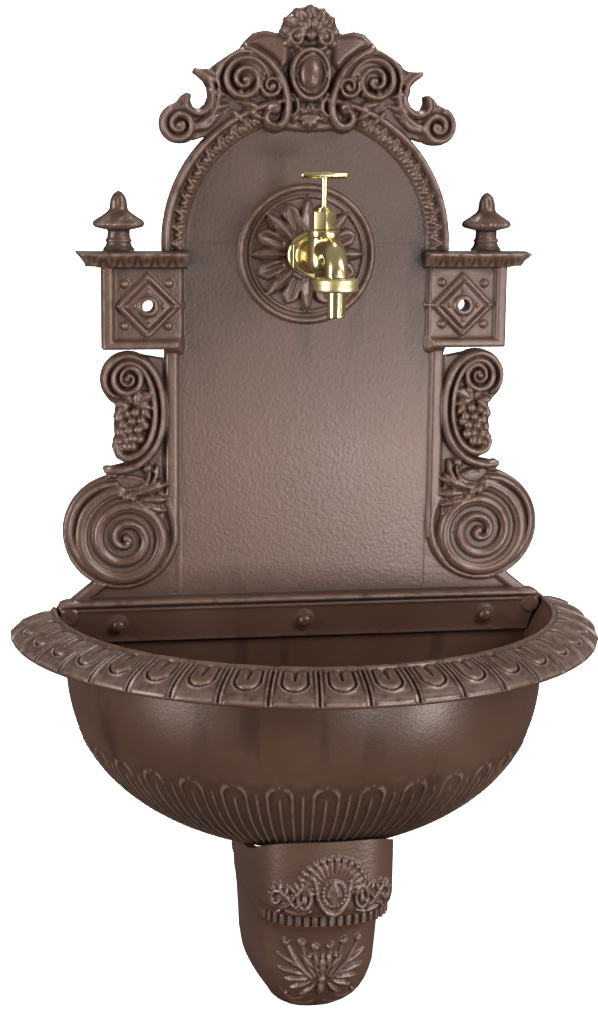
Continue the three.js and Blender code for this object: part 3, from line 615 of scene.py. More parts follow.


# %% [markdown]
# ## Paint and brass
#
# The castings are sprayed a dark antique brown that has a fine orange-peel skin. It is rubbed
# lighter along raised edges, stays darker in hollows, and has faint dark streaks that run down
# the plain panel. The lighter and darker marks also carry painted light: a painted shade over
# the upper part of the plate's plain field, and a painted highlight on the basin's rim. One node
# group does all of that, so that every casting is painted alike.

# %% Antique brown paint
def node_group(name, inputs, outputs):
    group = bpy.data.node_groups.new(name, "ShaderNodeTree")
    for label, kind, value in inputs:
        socket = group.interface.new_socket(label, in_out="INPUT", socket_type=kind)
        socket.default_value = value
    for label, kind in outputs:
        group.interface.new_socket(label, in_out="OUTPUT", socket_type=kind)
    return group, group.nodes.new("NodeGroupInput"), group.nodes.new("NodeGroupOutput")


class Wiring:
    """Short ways to add and join shader nodes."""

    def __init__(self, tree):
        self.tree = tree

    def node(self, kind, settings=None, **inputs):
        made = self.tree.nodes.new(kind)
        for key, value in (settings or {}).items():
            setattr(made, key, value)
        for key, value in inputs.items():
            self.plug(value, made.inputs[int(key[1:]) if key[0] == "_" else key.replace("_", " ")])
        return made

    def plug(self, value, socket):
        if isinstance(value, bpy.types.NodeSocket):
            self.tree.links.new(value, socket)
        else:
            socket.default_value = value

    def math(self, operation, a, b):
        return self.node("ShaderNodeMath", {"operation": operation}, _0=a, _1=b).outputs[0]

    def noise(self, place, scale, detail=3.0, stretch=(1, 1, 1)):
        spot = self.node("ShaderNodeMapping", Vector=place, Scale=stretch).outputs[0]
        return self.node("ShaderNodeTexNoise", Vector=spot, Scale=scale, Detail=detail).outputs["Fac"]

    def between(self, value, low, high):
        return self.node("ShaderNodeMapRange", {"interpolation_type": "SMOOTHSTEP"},
                         Value=value, From_Min=low, From_Max=high).outputs[0]

    def mix(self, share, a, b):
        made = self.node("ShaderNodeMix", {"data_type": "RGBA"}, _0=share)
        self.plug(a, made.inputs[6])
        self.plug(b, made.inputs[7])
        return made.outputs[2]


def build_antique_paint():
    group, given, result = node_group(
        "antique_paint",
        [("Worn", "NodeSocketFloat", 0.0), ("Hollow", "NodeSocketFloat", 0.0),
         ("Peel", "NodeSocketFloat", 0.5), ("Streaks", "NodeSocketFloat", 0.5)],
        [("Colour", "NodeSocketColor"), ("Roughness", "NodeSocketFloat"), ("Normal", "NodeSocketVector")])
    w = Wiring(group)
    place = w.node("ShaderNodeTexCoord").outputs["Object"]
    cloud = w.noise(place, 9.0, 4.0)
    grain = w.noise(place, 160.0, 3.0)
    streak = w.noise(place, 38.0, 6.0, (1.0, 1.0, 0.16))
    scuff = w.noise(place, 16.0, 5.0, (1.0, 1.0, 0.4))
    body = w.mix(w.between(cloud, 0.35, 0.65), (0.094, 0.045, 0.028, 1), (0.122, 0.063, 0.042, 1))
    streaked = w.math("MULTIPLY", w.between(streak, 0.57, 0.66), w.between(scuff, 0.44, 0.6))
    dark = w.math("MULTIPLY", streaked, given.outputs["Streaks"])
    body = w.mix(dark, body, (0.026, 0.016, 0.013, 1))
    # Worn lightens the paint: real wear on raised edges, and on the basin's rim a painted highlight.
    worn = w.math("MULTIPLY", given.outputs["Worn"], w.between(grain, 0.25, 0.6))
    body = w.mix(w.math("MULTIPLY", worn, 0.75), body, (0.27, 0.185, 0.150, 1))
    # Hollow darkens the paint: the finish's dark hollows, and on the plate's upper field a painted shade.
    body = w.mix(w.math("MULTIPLY", given.outputs["Hollow"], 0.85), body, (0.022, 0.013, 0.010, 1))
    rough = w.math("ADD", w.math("MULTIPLY", cloud, 0.18), 0.27)
    rough = w.math("ADD", rough, w.math("MULTIPLY", given.outputs["Hollow"], 0.2))
    peel = w.math("MULTIPLY", w.noise(place, 420.0, 2.0), given.outputs["Peel"])
    bump = w.node("ShaderNodeBump", Height=peel, Strength=0.35, Distance=0.0009)
    w.plug(body, result.inputs["Colour"])
    w.plug(rough, result.inputs["Roughness"])
    w.plug(bump.outputs[0], result.inputs["Normal"])
    return group


ANTIQUE_PAINT = build_antique_paint()


def new_material(name):
    made = bpy.data.materials.new(name)
    made.use_nodes = True
    return made, Wiring(made.node_tree), made.node_tree.nodes["Principled BSDF"]


def brown_casting(name, peel, streaks):
    """The antique brown, fed by the worn and hollow marks that a casting carries."""
    made, w, skin = new_material(name)
    paint = w.node("ShaderNodeGroup", {"node_tree": ANTIQUE_PAINT}, Peel=peel, Streaks=streaks)
    for mark in ("worn", "hollow"):
        stored = w.node("ShaderNodeAttribute", {"attribute_name": mark})
        w.plug(stored.outputs["Fac"], paint.inputs[mark.capitalize()])
    for given, taken in (("Colour", "Base Color"), ("Roughness", "Roughness"), ("Normal", "Normal")):
        w.plug(paint.outputs[given], skin.inputs[taken])
    skin.inputs["Metallic"].default_value = 0.15
    skin.inputs["Specular IOR Level"].default_value = 0.6
    return made


plate_paint = brown_casting("plate_paint", peel=0.6, streaks=0.45)
bowl_paint = brown_casting("bowl_paint", peel=0.4, streaks=0.45)
bracket_paint = brown_casting("bracket_paint", peel=0.6, streaks=0.6)
bolt_paint = brown_casting("bolt_paint", peel=0.2, streaks=0.1)


# %% [markdown]
# The tap is polished brass: a yellow metal that mirrors the studio, with faint turning marks
# and a slightly uneven polish.

# %% Polished brass
def polished_brass(name, colour, roughness, marks):
    made, w, skin = new_material(name)
    place = w.node("ShaderNodeTexCoord").outputs["Object"]
    cloud = w.noise(place, 60.0, 3.0)
    turned = w.noise(place, 300.0, 2.0, (0.1, 0.1, 8.0))
    tone = w.mix(w.between(cloud, 0.3, 0.7), colour, tuple(c * 0.86 for c in colour[:3]) + (1,))
    w.plug(tone, skin.inputs["Base Color"])
    w.plug(w.math("ADD", w.math("MULTIPLY", cloud, 0.10), roughness), skin.inputs["Roughness"])
    bump = w.node("ShaderNodeBump", Height=w.math("MULTIPLY", turned, marks), Strength=0.2, Distance=0.0002)
    w.plug(bump.outputs[0], skin.inputs["Normal"])
    skin.inputs["Metallic"].default_value = 1.0
    return made


BRASS_YELLOW = (0.93, 0.76, 0.36, 1)
tap_brass = polished_brass("tap_brass", BRASS_YELLOW, 0.17, 0.5)
nut_brass = polished_brass("nut_brass", (0.92, 0.77, 0.40, 1), 0.36, 1.0)


# The CAD pieces get the same finish as the fine pieces that will stand for them.
finishes = dict.fromkeys(("tap_body", "tap_bonnet", "tap_handle", "tap_outlet_tube"), tap_brass)
finishes |= dict.fromkeys(("basin_bolt_left", "basin_bolt_middle", "basin_bolt_right"), bolt_paint)
finishes |= {"tap_union_nut": nut_brass, "basin": bowl_paint, "bracket": bracket_paint, "back_plate": plate_paint}
for node, material in finishes.items():
    nodes[node].data.materials.clear()
    nodes[node].data.materials.append(material)

# %% [markdown]
# ## The back plate
#
# The plate is the same on both sides of its middle, so only the right half is carved, and then
# mirrored. Its plain field is the lowest level. Borders, blocks, cornices, scrolls, crest and
# rosette rise from it in the order in which a pattern maker would lay them. Positions are
# read off the drawing in millimetres, measured from the lower edge of the screw blocks.

# %% The plate's levels
FIELD = 8.0
BORDER = 11.0
ARCH_CENTRE = 76.5
ARCH_RADIUS = 105.8
PLATE_FOOT = -185.4
BLOCK = 12.0
BLOCK_TOP = 59.6
CORNICE_TOP = 70.3
SCREW_AT = (116.6, 31.3)
ROSETTE_HEIGHT = 68.4

plate = Board(0, 184.5, -218.5, 250, 0.7, ground=-40.0)


def at(x, z):
    """A point of the drawing, corrected for the lens."""
    return 0.996 * x, z * (0.993 if z > 0 else 0.986)


def corners(*points):
    return [at(*p) for p in points]


def path(*points):
    return curve_through(corners(*points))


def disc(cx, cz, rx, rz=None):
    return lambda x, z: disc_distance(x, z, cx, cz, rx, rz)


def rectangle(*edges):
    return lambda x, z: rect_distance(x, z, *edges)


def polygon(points):
    return lambda x, z: polygon_distance(x, z, points)


# The field with its round head, and the raised border that frames it.
plate.panel(rectangle(-99, 95.5, PLATE_FOOT - 4, ARCH_CENTRE),
            (0, 96, PLATE_FOOT - 4, ARCH_CENTRE), FIELD, 0.5)
plate.panel(disc(0, ARCH_CENTRE, ARCH_RADIUS),
            (0, ARCH_RADIUS, 60, 183), FIELD, 0.5)
foot_ground = corners((92, -120), (140, -130), (152, -171.5), (172.5, -189)) + [
    (172, PLATE_FOOT - 1), (92, PLATE_FOOT - 1)]
plate.panel(polygon(foot_ground), (92, 173, PLATE_FOOT, -118), FIELD, 0.8)
plate.panel(rectangle(94, 104, PLATE_FOOT + 40, ARCH_CENTRE),
            (94, 104, PLATE_FOOT + 40, ARCH_CENTRE), BORDER, 3.2, draft=0.9)
volute_rim = at(137, -136.5)
plate.panel(disc(*volute_rim, 42.6),
            (92, 181, -182, -92), BORDER, 2.6, draft=0.9)
plate.panel(disc(*volute_rim, 38.4), (92, 181, -182, -92), BORDER - 3.2, 1.5)
inner = disc_distance(plate.X, plate.Z, *volute_rim, 38.0)
sunk = np.minimum(plate.out, FIELD + 0.2 + np.clip(inner + 3, 0, 3) * 0.9)
plate.out = np.where(inner < 0, sunk, plate.out)
plate.ridge([at(150, -173.5), at(171, -190.5)], 4.2, 3.2, FIELD, shape=True, flat=0.45)

# %% [markdown]
# The arch carries a moulding: a plain outer roll, a hollow, and a band of small leaves with a
# bead in each. A running ornament like this is drawn once, over one unit, and repeats by angle.

# %% Arch moulding
ARCH_UNITS = 26
where, x, z = plate.part(0, 112, 64, 186)
radius = np.hypot(x, z - ARCH_CENTRE)
angle = np.arctan2(z - ARCH_CENTRE, x)
on_arch = (angle > -0.08) & (z > 66)
roll = FIELD + 8.4 * round_top((radius - 102.9) / 3.1)
roll = np.where(np.abs(radius - 102.9) < 3.1, np.maximum(roll, FIELD + 4), -40)
plate.lay(where, roll, on_arch, 0.9)
unit = np.mod(angle / (math.pi / ARCH_UNITS), 1.0) - 0.5
along = unit * math.pi / ARCH_UNITS * 96.0
across = radius - 95.4
band = FIELD + 3.2 - 0.35 * np.maximum(93.2 - radius, 0)
bead = 3.0 * np.sqrt(np.clip(1 - (along / 2.1) ** 2 - ((across + 0.3) / 3.1) ** 2, 0, 1))
frond = np.abs(np.abs(along) - (3.4 + 0.42 * across))
leafy = 2.2 * np.clip(1 - (frond / 1.35) ** 2, 0, 1) * (np.abs(across) < 4.2)
tongue = 1.5 * np.clip(1 - (np.abs(np.abs(along) - 5.75) / 1.0) ** 2, 0, 1) * (across < 1.5)
band = band + np.maximum(np.maximum(bead, leafy), tongue)
band = np.where((radius > 90.6) & (radius < 100.6), band, -40)
plate.lay(where, band, on_arch, 0.5)
fillet = np.where(np.abs(radius - 90.0) < 1.2, FIELD + 2.2 * round_top((radius - 90.0) / 1.2), -40)
plate.lay(where, fillet, on_arch, 0.5)

# %% [markdown]
# Each screw block is a panel in a raised frame, with a stepped diamond round the screw hole
# and small rivets. The cornice above it flares out over a row of pointed leaves.

# %% Screw blocks
sx, sz = SCREW_AT


def diamond_distance(reach):
    return lambda x, z: (np.abs(x - sx) + np.abs(z - sz) - reach) / math.sqrt(2)


plate.panel(rectangle(92, 149.6, 0, BLOCK_TOP + 2), (92, 150, 0, 62), BLOCK, 0.6)
frame_edge = [(141.8, 6.2), (141.8, 64), (149.6, 64), (149.6, 0), (94, 0), (94, 6.2)]
plate.panel(polygon(frame_edge), (94, 150, 0, 64), BLOCK + 4, 2.2, draft=1.2)
for reach, out, bevel in ((24.0, BLOCK + 2.6, 2.2), (17.8, BLOCK + 4.2, 1.6)):
    box = (sx - reach, sx + reach, sz - reach, sz + reach)
    plate.panel(diamond_distance(reach), box, out, bevel, draft=1.0, shape=False)
sunk = diamond_distance(19.5)(plate.X, plate.Z)
ring = diamond_distance(17.6)(plate.X, plate.Z)
plate.out -= 1.6 * np.clip(-sunk, 0, 1) * np.clip(ring + 1, 0, 1)
plate.panel(disc(sx, sz, 7.4), (105, 128, 20, 43), BLOCK + 6.5, 1.4, shape=False)
for dx, dz in ((16.5, 16.0), (-15.5, 16.5), (16.5, -14.0), (-15.0, -14.0)):
    plate.bead(sx + dx, sz + dz, 2.9, 3.0, BLOCK)
for away, size, up, bottom in ((10.5, 1.5, 1.6, BLOCK + 4.0), (20.4, 1.3, 1.4, BLOCK + 2.4)):
    for dx, dz in ((away, 0), (-away, 0), (0, away), (0, -away)):
        plate.bead(sx + dx, sz + dz, size, up, bottom)

# %% Cornices
where, x, z = plate.part(92, 169, 58, 73)
rise = np.clip((z - BLOCK_TOP) / (CORNICE_TOP - 1.6 - BLOCK_TOP), 0, 1)
flare = 16.8 + 6.2 * rise ** 1.3
end = 160.6 + 6.6 * rise ** 1.3
LEAF_SPACING = 12.4
leaf_unit = np.mod((x - 155.4) / LEAF_SPACING + 0.5, 1.0) - 0.5
leaf_width = 0.16 + 0.80 * rise ** 0.65
blade = (np.abs(leaf_unit) * 2.0 < leaf_width)
carved = np.where(blade, 1.9 * round_top(np.abs(leaf_unit) * 2 / (leaf_width + 1e-6)), -0.6)
carved = carved - 1.1 * np.exp(-(leaf_unit * LEAF_SPACING / 0.8) ** 2) * (rise < 0.86)
second = np.abs(np.abs(leaf_unit) - 0.5) * LEAF_SPACING
carved = np.maximum(carved, 1.3 * np.clip(1 - (second / 1.7) ** 2, -1, 1) - 0.4)
slab_edge = rect_distance(x, z, 90, 167.6, CORNICE_TOP - 1.9, CORNICE_TOP)
body_edge = np.maximum(x - end, np.maximum(BLOCK_TOP - 0.6 - z, z - CORNICE_TOP))
top = np.where(body_edge < 0, np.minimum(flare + carved, 23.9), -40)
top = np.maximum(top, np.where(slab_edge < 0, 24.0 - 0.5 * np.clip(1 + slab_edge, 0, 1), -40))
plate.out[where] = np.maximum(plate.out[where], top)
plate.outline(where, np.minimum(slab_edge, body_edge))

# %% [markdown]
# A finial stands on each cornice: a turned knob with a fluted cap. On the board it is a round
# profile, so its height follows from its half width, as on a lathe.

# %% Finials
FINIAL_AT = 136.4
finial_profile = np.array([
    (69.0, 11.5), (72.0, 11.2), (74.2, 9.4), (76.5, 8.7), (77.3, 9.6), (78.6, 9.6), (79.4, 8.2), (85.2, 8.0),
    (86.4, 13.4), (87.3, 17.2), (88.8, 18.5), (90.6, 18.7), (92.4, 17.2), (95.2, 12.6), (97.8, 8.8), (99.6, 6.9),
    (101.5, 6.4), (106.0, 6.0), (109.6, 4.6), (112.0, 2.6), (113.3, 0.2)])
where, x, z = plate.part(FINIAL_AT - 20, FINIAL_AT + 20, 69, 114, 1)
wide = np.interp(z, finial_profile[:, 0], finial_profile[:, 1])
sideways = (x - FINIAL_AT) / wide
turn_angle = np.arcsin(np.clip(sideways, -1, 1))
dome = wide * round_top(sideways) * 0.86
cap = np.clip(1 - np.abs(z - 92.5) / 5.5, 0, 1)
dome = dome + 0.9 * cap * np.cos(turn_angle * 9)
knob = np.clip(1 - np.abs(z - 105.5) / 4.5, 0, 1)
dome = dome - 1.3 * knob * np.exp(-(sideways / 0.16) ** 2)
bead_round = ((np.mod(turn_angle / 0.30, 1) - 0.5) / 0.42) ** 2
beads = 1.3 * np.sqrt(np.clip(1 - bead_round - ((z - 89.6) / 1.5) ** 2, 0, 1))
dome = dome + beads * (np.abs(z - 89.6) < 1.5)
edge = (np.abs(x - FINIAL_AT) - wide) * 0.9
edge = np.maximum(edge, np.maximum(z - 113.4, 69 - z))
plate.lay(where, dome, edge < 0)
plate.outline(where, edge)

# %% [markdown]
# ## The scroll wings
#
# Beside the field hang a C-scroll with a bunch of grapes and, below it, a big volute like a
# snail. A scroll is a ridge along a curve that gets narrower towards its eye.

# %% Upper scroll
WING = BORDER - 2.0
curl_disc = at(130.8, -22.6)
plate.panel(disc(*curl_disc, 20.6), (104, 153, -46, 0), WING, 1.5, k=0.4)
wing_back = corners(
    (100, -8), (122, -4), (138, -36), (140.5, -44), (141.5, -56), (141, -64), (143.2, -73), (140.5, -80.5),
    (133, -85), (147, -88), (147, -100), (141.5, -106), (112, -122), (100, -122))
plate.panel(polygon(wing_back), (98, 148, -124, -2), WING - 2.2, 1.2, k=0.4)
outer_c = path((147.2, -89.6), (138, -90.2), (126, -86.6), (116, -78.5), (109.6, -68), (106.4, -56), (105.8, -44),
               (107.2, -32), (111, -20.5), (117.4, -11.4), (125, -6.4), (133, -4.8), (141, -8), (147, -15),
               (148.8, -23), (146.4, -30.5), (141.6, -34.6))
plate.ridge(outer_c, [2.6, 2.8, 2.8, 2.6, 2.6, 2.6, 2.4, 1.6], [5, 5.6, 5.8, 5.6, 5.4, 5.0, 4.4, 3],
            WING, k=0.4, shape=True)
inner_c = path((141.4, -70.5), (139.4, -77.4), (131.5, -80.6), (122, -76.4), (115.6, -67.2), (112.4, -56),
               (112, -44), (113.6, -31.6), (117.2, -21.4), (122.4, -13.6), (129.6, -10), (136.6, -11.4),
               (141.4, -17), (142, -24.4), (138, -30.4), (131, -32), (124.6, -28.4), (122.4, -21.6), (125.2, -15.6),
               (131, -13.6), (136, -17.2), (136.8, -23), (132.8, -26.6), (128.4, -24.6), (128.4, -20), (132, -18.6))
plate.ridge(inner_c, [3.4, 3.0, 2.6, 2.4, 2.4, 2.5, 2.6, 2.5, 2.2, 1.9, 1.6, 1.4],
            [4.5, 4.8, 5.2, 5.6, 6, 6.4, 6.4, 6.2, 6, 5.8, 5.4, 5], WING - 0.6, k=0.35)
plate.bead(*at(132.6, -21.6), 2.2, 3.0, WING + 3.0)
plate.carve(path((146, -98), (146.4, -90.6)), 0.7, 0.5)
wing_foot = corners((140, -93.5), (147.2, -88), (147.2, -100), (142.6, -106.5), (139.5, -101))
plate.panel(polygon(wing_foot),
            (138, 148, -106, -86), WING + 3.6, 1.6, k=0.4)

# %% Grapes and vine leaves
berries = [(119.5, -47), (126.5, -46.5), (133, -48), (138.4, -50.5), (122, -53), (129, -53.5), (135.5, -55.8),
           (119.6, -56.6), (124.6, -59.6), (131.4, -60.2), (137.8, -61.6), (128.2, -66), (134.6, -67), (139, -68.4),
           (132.4, -72), (137.4, -73.4), (123.6, -66.4), (128.6, -72)]
for i, (bx, bz) in enumerate(berries):
    plate.bead(*at(bx, bz), 3.5, 3.6, WING + 0.6 + 0.7 * math.sin(2.4 * i), k=0.3, shape=True)
for lx, lz, degrees, length, width in (
        (127, -40, 150, 16, 10), (127, -40, 196, 14, 8), (127, -41, 108, 12, 8), (129, -40, 62, 11, 7),
        (131, -41, 5, 11, 8), (131, -41, 325, 11, 7), (121, -44, 232, 9, 6)):
    plate.leaf(*at(lx, lz), length, width, 2.6, WING + 1.6, degrees, lobes=3, veins=0.8, k=0.35, shape=True)
plate.leaf(*at(133, -60), 22, 9, 2.4, WING, -62, lobes=0, veins=0.7, k=0.4)

# %% The big volute
vx, vz = at(134, -141)
where, x, z = plate.part(92, 181, -182, -96)
from_rim = disc_distance(x, z, *at(137.4, -136.0), 41.0)
dome = WING + 0.5 + 5.0 * np.clip(1 - np.hypot(x - vx, z - vz) / 42, 0, 1)
curl = np.where(from_rim < 0, np.minimum(dome, WING + 0.5 + np.sqrt(np.clip(-from_rim, 0, 2) * 2)), -40)
right_of_border = (x > 104.5 + 6.0 * np.clip((-130 - z) / 45, 0, 1) ** 2)
plate.out[where] = np.where((from_rim < 0) & right_of_border, curl, plate.out[where])
plate.outline(where, from_rim)
volute = spiral(vx, vz, 83, 2.72, 35.4, 1.8, 64)
growth = np.linspace(0, 1, 12)
plate.ridge(volute, 4.9 - 3.1 * growth ** 1.2, 3.2, WING + 1.6 + 3.8 * growth, k=0.35, groove=0.9)
outer_sweep = path((140.5, -99.5), (152, -101.8), (163, -108.6), (171, -119), (174.6, -131.6), (173.4, -145),
                   (167.6, -157), (159, -166), (149, -171.6))
plate.ridge(outer_sweep, [2.2, 2.6, 2.6, 2.4, 2.0, 1.4], [4.2, 4.4, 4.2, 4, 3.4, 2.6], WING + 0.4, k=0.4,
            shape=True)
second_sweep = path((136, -106.4), (148, -106.6), (158.6, -112.6), (165.8, -122), (168.8, -134), (167.2, -147),
                    (160.8, -158), (151, -165.4))
plate.ridge(second_sweep, [1.6, 2.0, 2.2, 2.1, 1.8, 1.2], [3.6, 3.8, 3.8, 3.6, 3, 2.2], WING + 0.8, k=0.35)
plate.bead(vx - 0.2, vz + 0.4, 2.6, 3.4, WING + 4.4)

# %% Leaves over the volute's shoulder
for lx, lz, degrees, length, width, bend in (
        (128, -108.5, 158, 26, 9.5, 0.06), (124, -111.5, 184, 21, 9, -0.05), (124, -114.5, 205, 20, 9, -0.12),
        (128, -111, 224, 19, 7.5, -0.1), (118, -108, 128, 14, 6.5, 0.1)):
    plate.leaf(*at(lx, lz), length, width, 3.2, WING + 2.0, degrees, lobes=4, veins=0.9, k=0.35,
               shape=True, bend=bend)
for points, half in (
        (((110.6, -88), (111.4, -94.5), (116, -101.6), (124, -106), (133, -107.4), (141.6, -106)),
         [1.2, 1.6, 1.8, 1.6]),
        (((116, -92.4), (117.6, -98), (123, -102.4), (131, -104.2), (139, -102.4)), [0.9, 1.1, 1.1, 0.9])):
    plate.ridge(path(*points), half, 3.4, WING + 0.6, k=0.35)
plate.bead(*at(117.4, -88.6), 3.4, 3.4, WING, k=0.4, shape=True)
plate.bead(*at(111.8, -91.0), 2.2, 2.6, WING, k=0.4)
for bx, bz, r in ((133.6, -109.4, 3.4), (128.6, -110.8, 2.4), (138.2, -107.8, 2.2)):
    plate.bead(*at(bx, bz), r, 3.4, WING + 2.4, k=0.3)

# %% [markdown]
# ## The crest
#
# Over the arch sits a crest: a fan of petals on top, an oval cartouche with a polished
# cabochon, an S-scroll on each side that ends in a small eye, an acanthus leaf and an end
# scroll. All of it is again the right half, mirrored.

# %% Crest ground and silhouettes
CREST = FIELD + 4.0
crest_ground = corners(
    (0, 232), (12, 229), (24, 226.6), (32, 228.4), (40, 226.6), (46, 221), (50, 215.6), (58, 210.8), (66, 205.4),
    (71.6, 201), (77, 200.4), (82.6, 201.4), (84, 198), (80.4, 195.4), (76.4, 192), (73.6, 187), (73, 181),
    (75, 176), (79, 172.8), (84, 173.4), (86, 178), (85.4, 182.6), (88.4, 184), (92.4, 181.4), (95.4, 177.4),
    (100, 174.6), (96, 150), (84, 150), (60, 158), (34, 164), (24, 160), (0, 158))
plate.panel(polygon(crest_ground), (0, 101, 148, 233), CREST, 1.4, k=0.4)
plate.panel(disc(*at(93.6, 162.2), 14.4), (78, 109, 146, 178), CREST + 1.5, 2.2, k=0.4)
plate.panel(disc(*at(24.6, 167), 7.6), (16, 33, 158, 176), CREST, 2.4, k=0.4)

# %% Shoulder panel and the big S-scroll
shoulder = corners((14, 226), (24, 225), (32, 226), (39, 224.4), (43.6, 219.6), (36, 214.6), (27, 207.6),
                   (20.6, 199), (15, 205))
plate.panel(polygon(shoulder), (12, 45, 198, 228), CREST + 2.6, 5.0, shape=False, k=0.5)
s_scroll = path((47, 217.4), (38.6, 212.8), (29.4, 206), (22.2, 197), (17.6, 186), (16, 175.4), (17.6, 166.4),
                (22.4, 161.4), (28.4, 161.8), (31.8, 166), (30.6, 171), (26.4, 172.2))
plate.ridge(s_scroll, [1.2, 2.6, 3.0, 3.0, 2.8, 2.6, 2.3, 1.6], [4, 5.6, 6.6, 7, 7, 6.4, 5.4, 4],
            CREST + 1.2, k=0.4, groove=1.3)
plate.bead(*at(26.2, 174.6), 5.6, 5.6, CREST + 0.8, k=0.4, shape=True)
plate.bead(*at(26.2, 175.4), 2.4, 2.8, CREST + 4.8, k=0.3)
outer_hoop = path((66.6, 188.6), (67.4, 196), (64.6, 203.6), (58.6, 209.8), (50.6, 213.4), (42.6, 212.6),
                  (35.4, 208.4))
plate.ridge(outer_hoop, [1.4, 2.6, 3.0, 2.8, 2.0, 1.0], [4, 5.6, 6.4, 6.2, 5, 3], CREST + 0.6, k=0.4, groove=1.1)
hump = disc_distance(plate.X, plate.Z, *at(38, 200), 15, 11)
plate.lay(..., CREST + 4.2 * round_top(1 + hump / 11), hump < 0)

# %% Inner spiral and eyes
plate.ridge(spiral(*at(47.6, 193.6), 168, 2.05, 16.5, 2.0), [2.9, 2.7, 2.4, 2.1, 1.6], [5.0, 5.4, 5.8, 5.4, 5],
            [CREST + 0.4, CREST + 2.4], k=0.35, groove=0.9)
plate.bead(*at(47.4, 193.4), 2.4, 3.4, CREST + 3.6, k=0.3)
plate.ridge(spiral(*at(28.2, 189.6), 20, 1.35, 8.0, 2.8), [2.0, 1.8, 1.4], 4.6, CREST + 1.4, k=0.35)
plate.bead(*at(27.4, 189), 2.5, 3.2, CREST + 3.4, k=0.3)
for bx, bz, r in ((44.6, 183.6, 2.6), (39.2, 184.4, 2.0), (50.6, 184.6, 2.1), (56.4, 186.4, 1.9),
                  (34.4, 197.6, 1.6)):
    plate.bead(*at(bx, bz), r, 3.2, CREST + 2.2, k=0.3)

# %% Acanthus leaf and end scroll
for lx, lz, degrees, length, width, bend in (
        (66, 190, 36, 22, 8.5, -0.12), (66, 192, 52, 15, 6.5, -0.1), (60, 182, 12, 17, 8, 0.1),
        (58, 176, -18, 22, 8, 0.05), (63, 170, -26, 25, 9, 0.0), (67, 165, -22, 24, 8, 0.12),
        (52, 178, 190, 17, 8, 0.1), (47, 172, 205, 15, 7, 0.0), (56, 172, 228, 12, 6, 0.0)):
    plate.leaf(*at(lx, lz), length, width, 3.8, CREST + 0.4, degrees, lobes=4, veins=1.0, k=0.35, bend=bend)
notch_lip = path((84.4, 200.4), (77.6, 197.6), (72.4, 192), (70.4, 184.6), (70.8, 177.4), (74.4, 171.6),
                 (80.4, 169.2),
                 (86.4, 171), (89.4, 175.8), (88.4, 182.8))
plate.ridge(notch_lip, [1.0, 1.8, 2.2, 2.4, 2.4, 2.4, 2.0, 1.2], [3.4, 4.6, 5.4, 5.6, 5.6, 5.2, 4.4, 3],
            CREST + 0.6, k=0.35, groove=0.8)
plate.ridge(path((66.4, 192), (66, 184), (67.2, 176), (70.8, 168.6), (77, 163.4), (84, 161.4)),
            [1.2, 2.0, 2.2, 2.0, 1.4], 4.6, CREST + 0.8, k=0.35)
end_scroll = spiral(*at(94.6, 161.4), 58, 1.75, 12.2, 2.2)
plate.ridge(end_scroll, [3.0, 2.7, 2.2, 1.7], [4.6, 5, 5, 4.6], [CREST + 1.8, CREST + 3.2], k=0.35, groove=0.8)
plate.bead(*at(95, 161), 2.6, 3.2, CREST + 4.0, k=0.3)
plate.ridge(path((83, 158.6), (74, 160.6), (69, 166.4)), [2.4, 2.0, 1.2], 4.2, CREST + 0.6, k=0.35)

# %% Fan, cartouche and apron
fx, fz = at(0, 226)
plate.panel(disc(fx, fz, 20.2, 19.6), (0, 22, 204, 248), CREST + 1.4, 2.0, k=0.4)
for degrees in (-22.0, 6.0, 34.0, 62.0, 90.0):
    plate.leaf(*spoke(fx, fz, degrees, 5.4, 5.0), 15.8, 8.2, 5.2, CREST + 1.2, degrees, tip=0.74, hollow=2.2,
               k=0.3, shape=True)
    plate.bead(*spoke(fx, fz, degrees, 17.6, 16.6), 3.0, 3.0, CREST + 2.6, k=0.35, shape=True)
for k in range(4):
    a = math.radians(-8 + k * 28.0)
    plate.leaf(fx + 3.4 * math.cos(a), fz + 3.4 * math.sin(a), 8.6, 4.6, 3.4, CREST + 4.6, math.degrees(a),
               tip=0.7, hollow=1.2, k=0.3)
plate.bead(fx, fz - 0.5, 3.4, 3.6, CREST + 5.0, k=0.3)
plate.ridge(spiral(*at(10.2, 223.4), 120, 1.3, 6.2, 1.8), [2.0, 1.8, 1.4], 4.8, CREST + 2.6, k=0.3)
plate.bead(*at(10.2, 223.6), 2.0, 2.8, CREST + 5.2, k=0.3)
plate.ridge(path((0, 213.6), (6, 215), (10.4, 216.6)), [2.4, 2.0, 1.4], 4.0, CREST + 3, k=0.35)
ox, oz = at(0, 198)
where, x, z = plate.part(0, 20, 176, 220)
oval = np.hypot((x - ox) / 14.8, (z - oz) / 19.0)
for centre, half, rise in ((0.90, 0.105, 4.6), (0.70, 0.075, 3.2)):
    hoop = CREST + 4.4 + rise * round_top((oval - centre) / half)
    plate.lay(where, hoop, np.abs(oval - centre) < half, 0.4)
plate.lay(where, CREST + 4.2, oval < 0.995)
cabochon = np.hypot((x - ox) / 8.8, (z - oz) / 12.8)
plate.lay(where, CREST + 3.6 + 6.6 * round_top(cabochon), cabochon < 1)
plate.ridge(path((12.6, 184), (9.6, 178.6), (9.2, 172.6), (12.6, 168.4)), [1.6, 1.8, 1.8, 1.4], 4.2,
            CREST + 1, k=0.4)
for bx, bz, r, rise in ((0, 165.4, 6.2, 5.4), (11.4, 167.6, 4.8, 4.6), (0, 177.6, 3.0, 3.4),
                        (5.6, 171.6, 2.4, 2.6)):
    plate.bead(*at(bx, bz), r, rise, CREST - 1.5, k=0.4, shape=True)
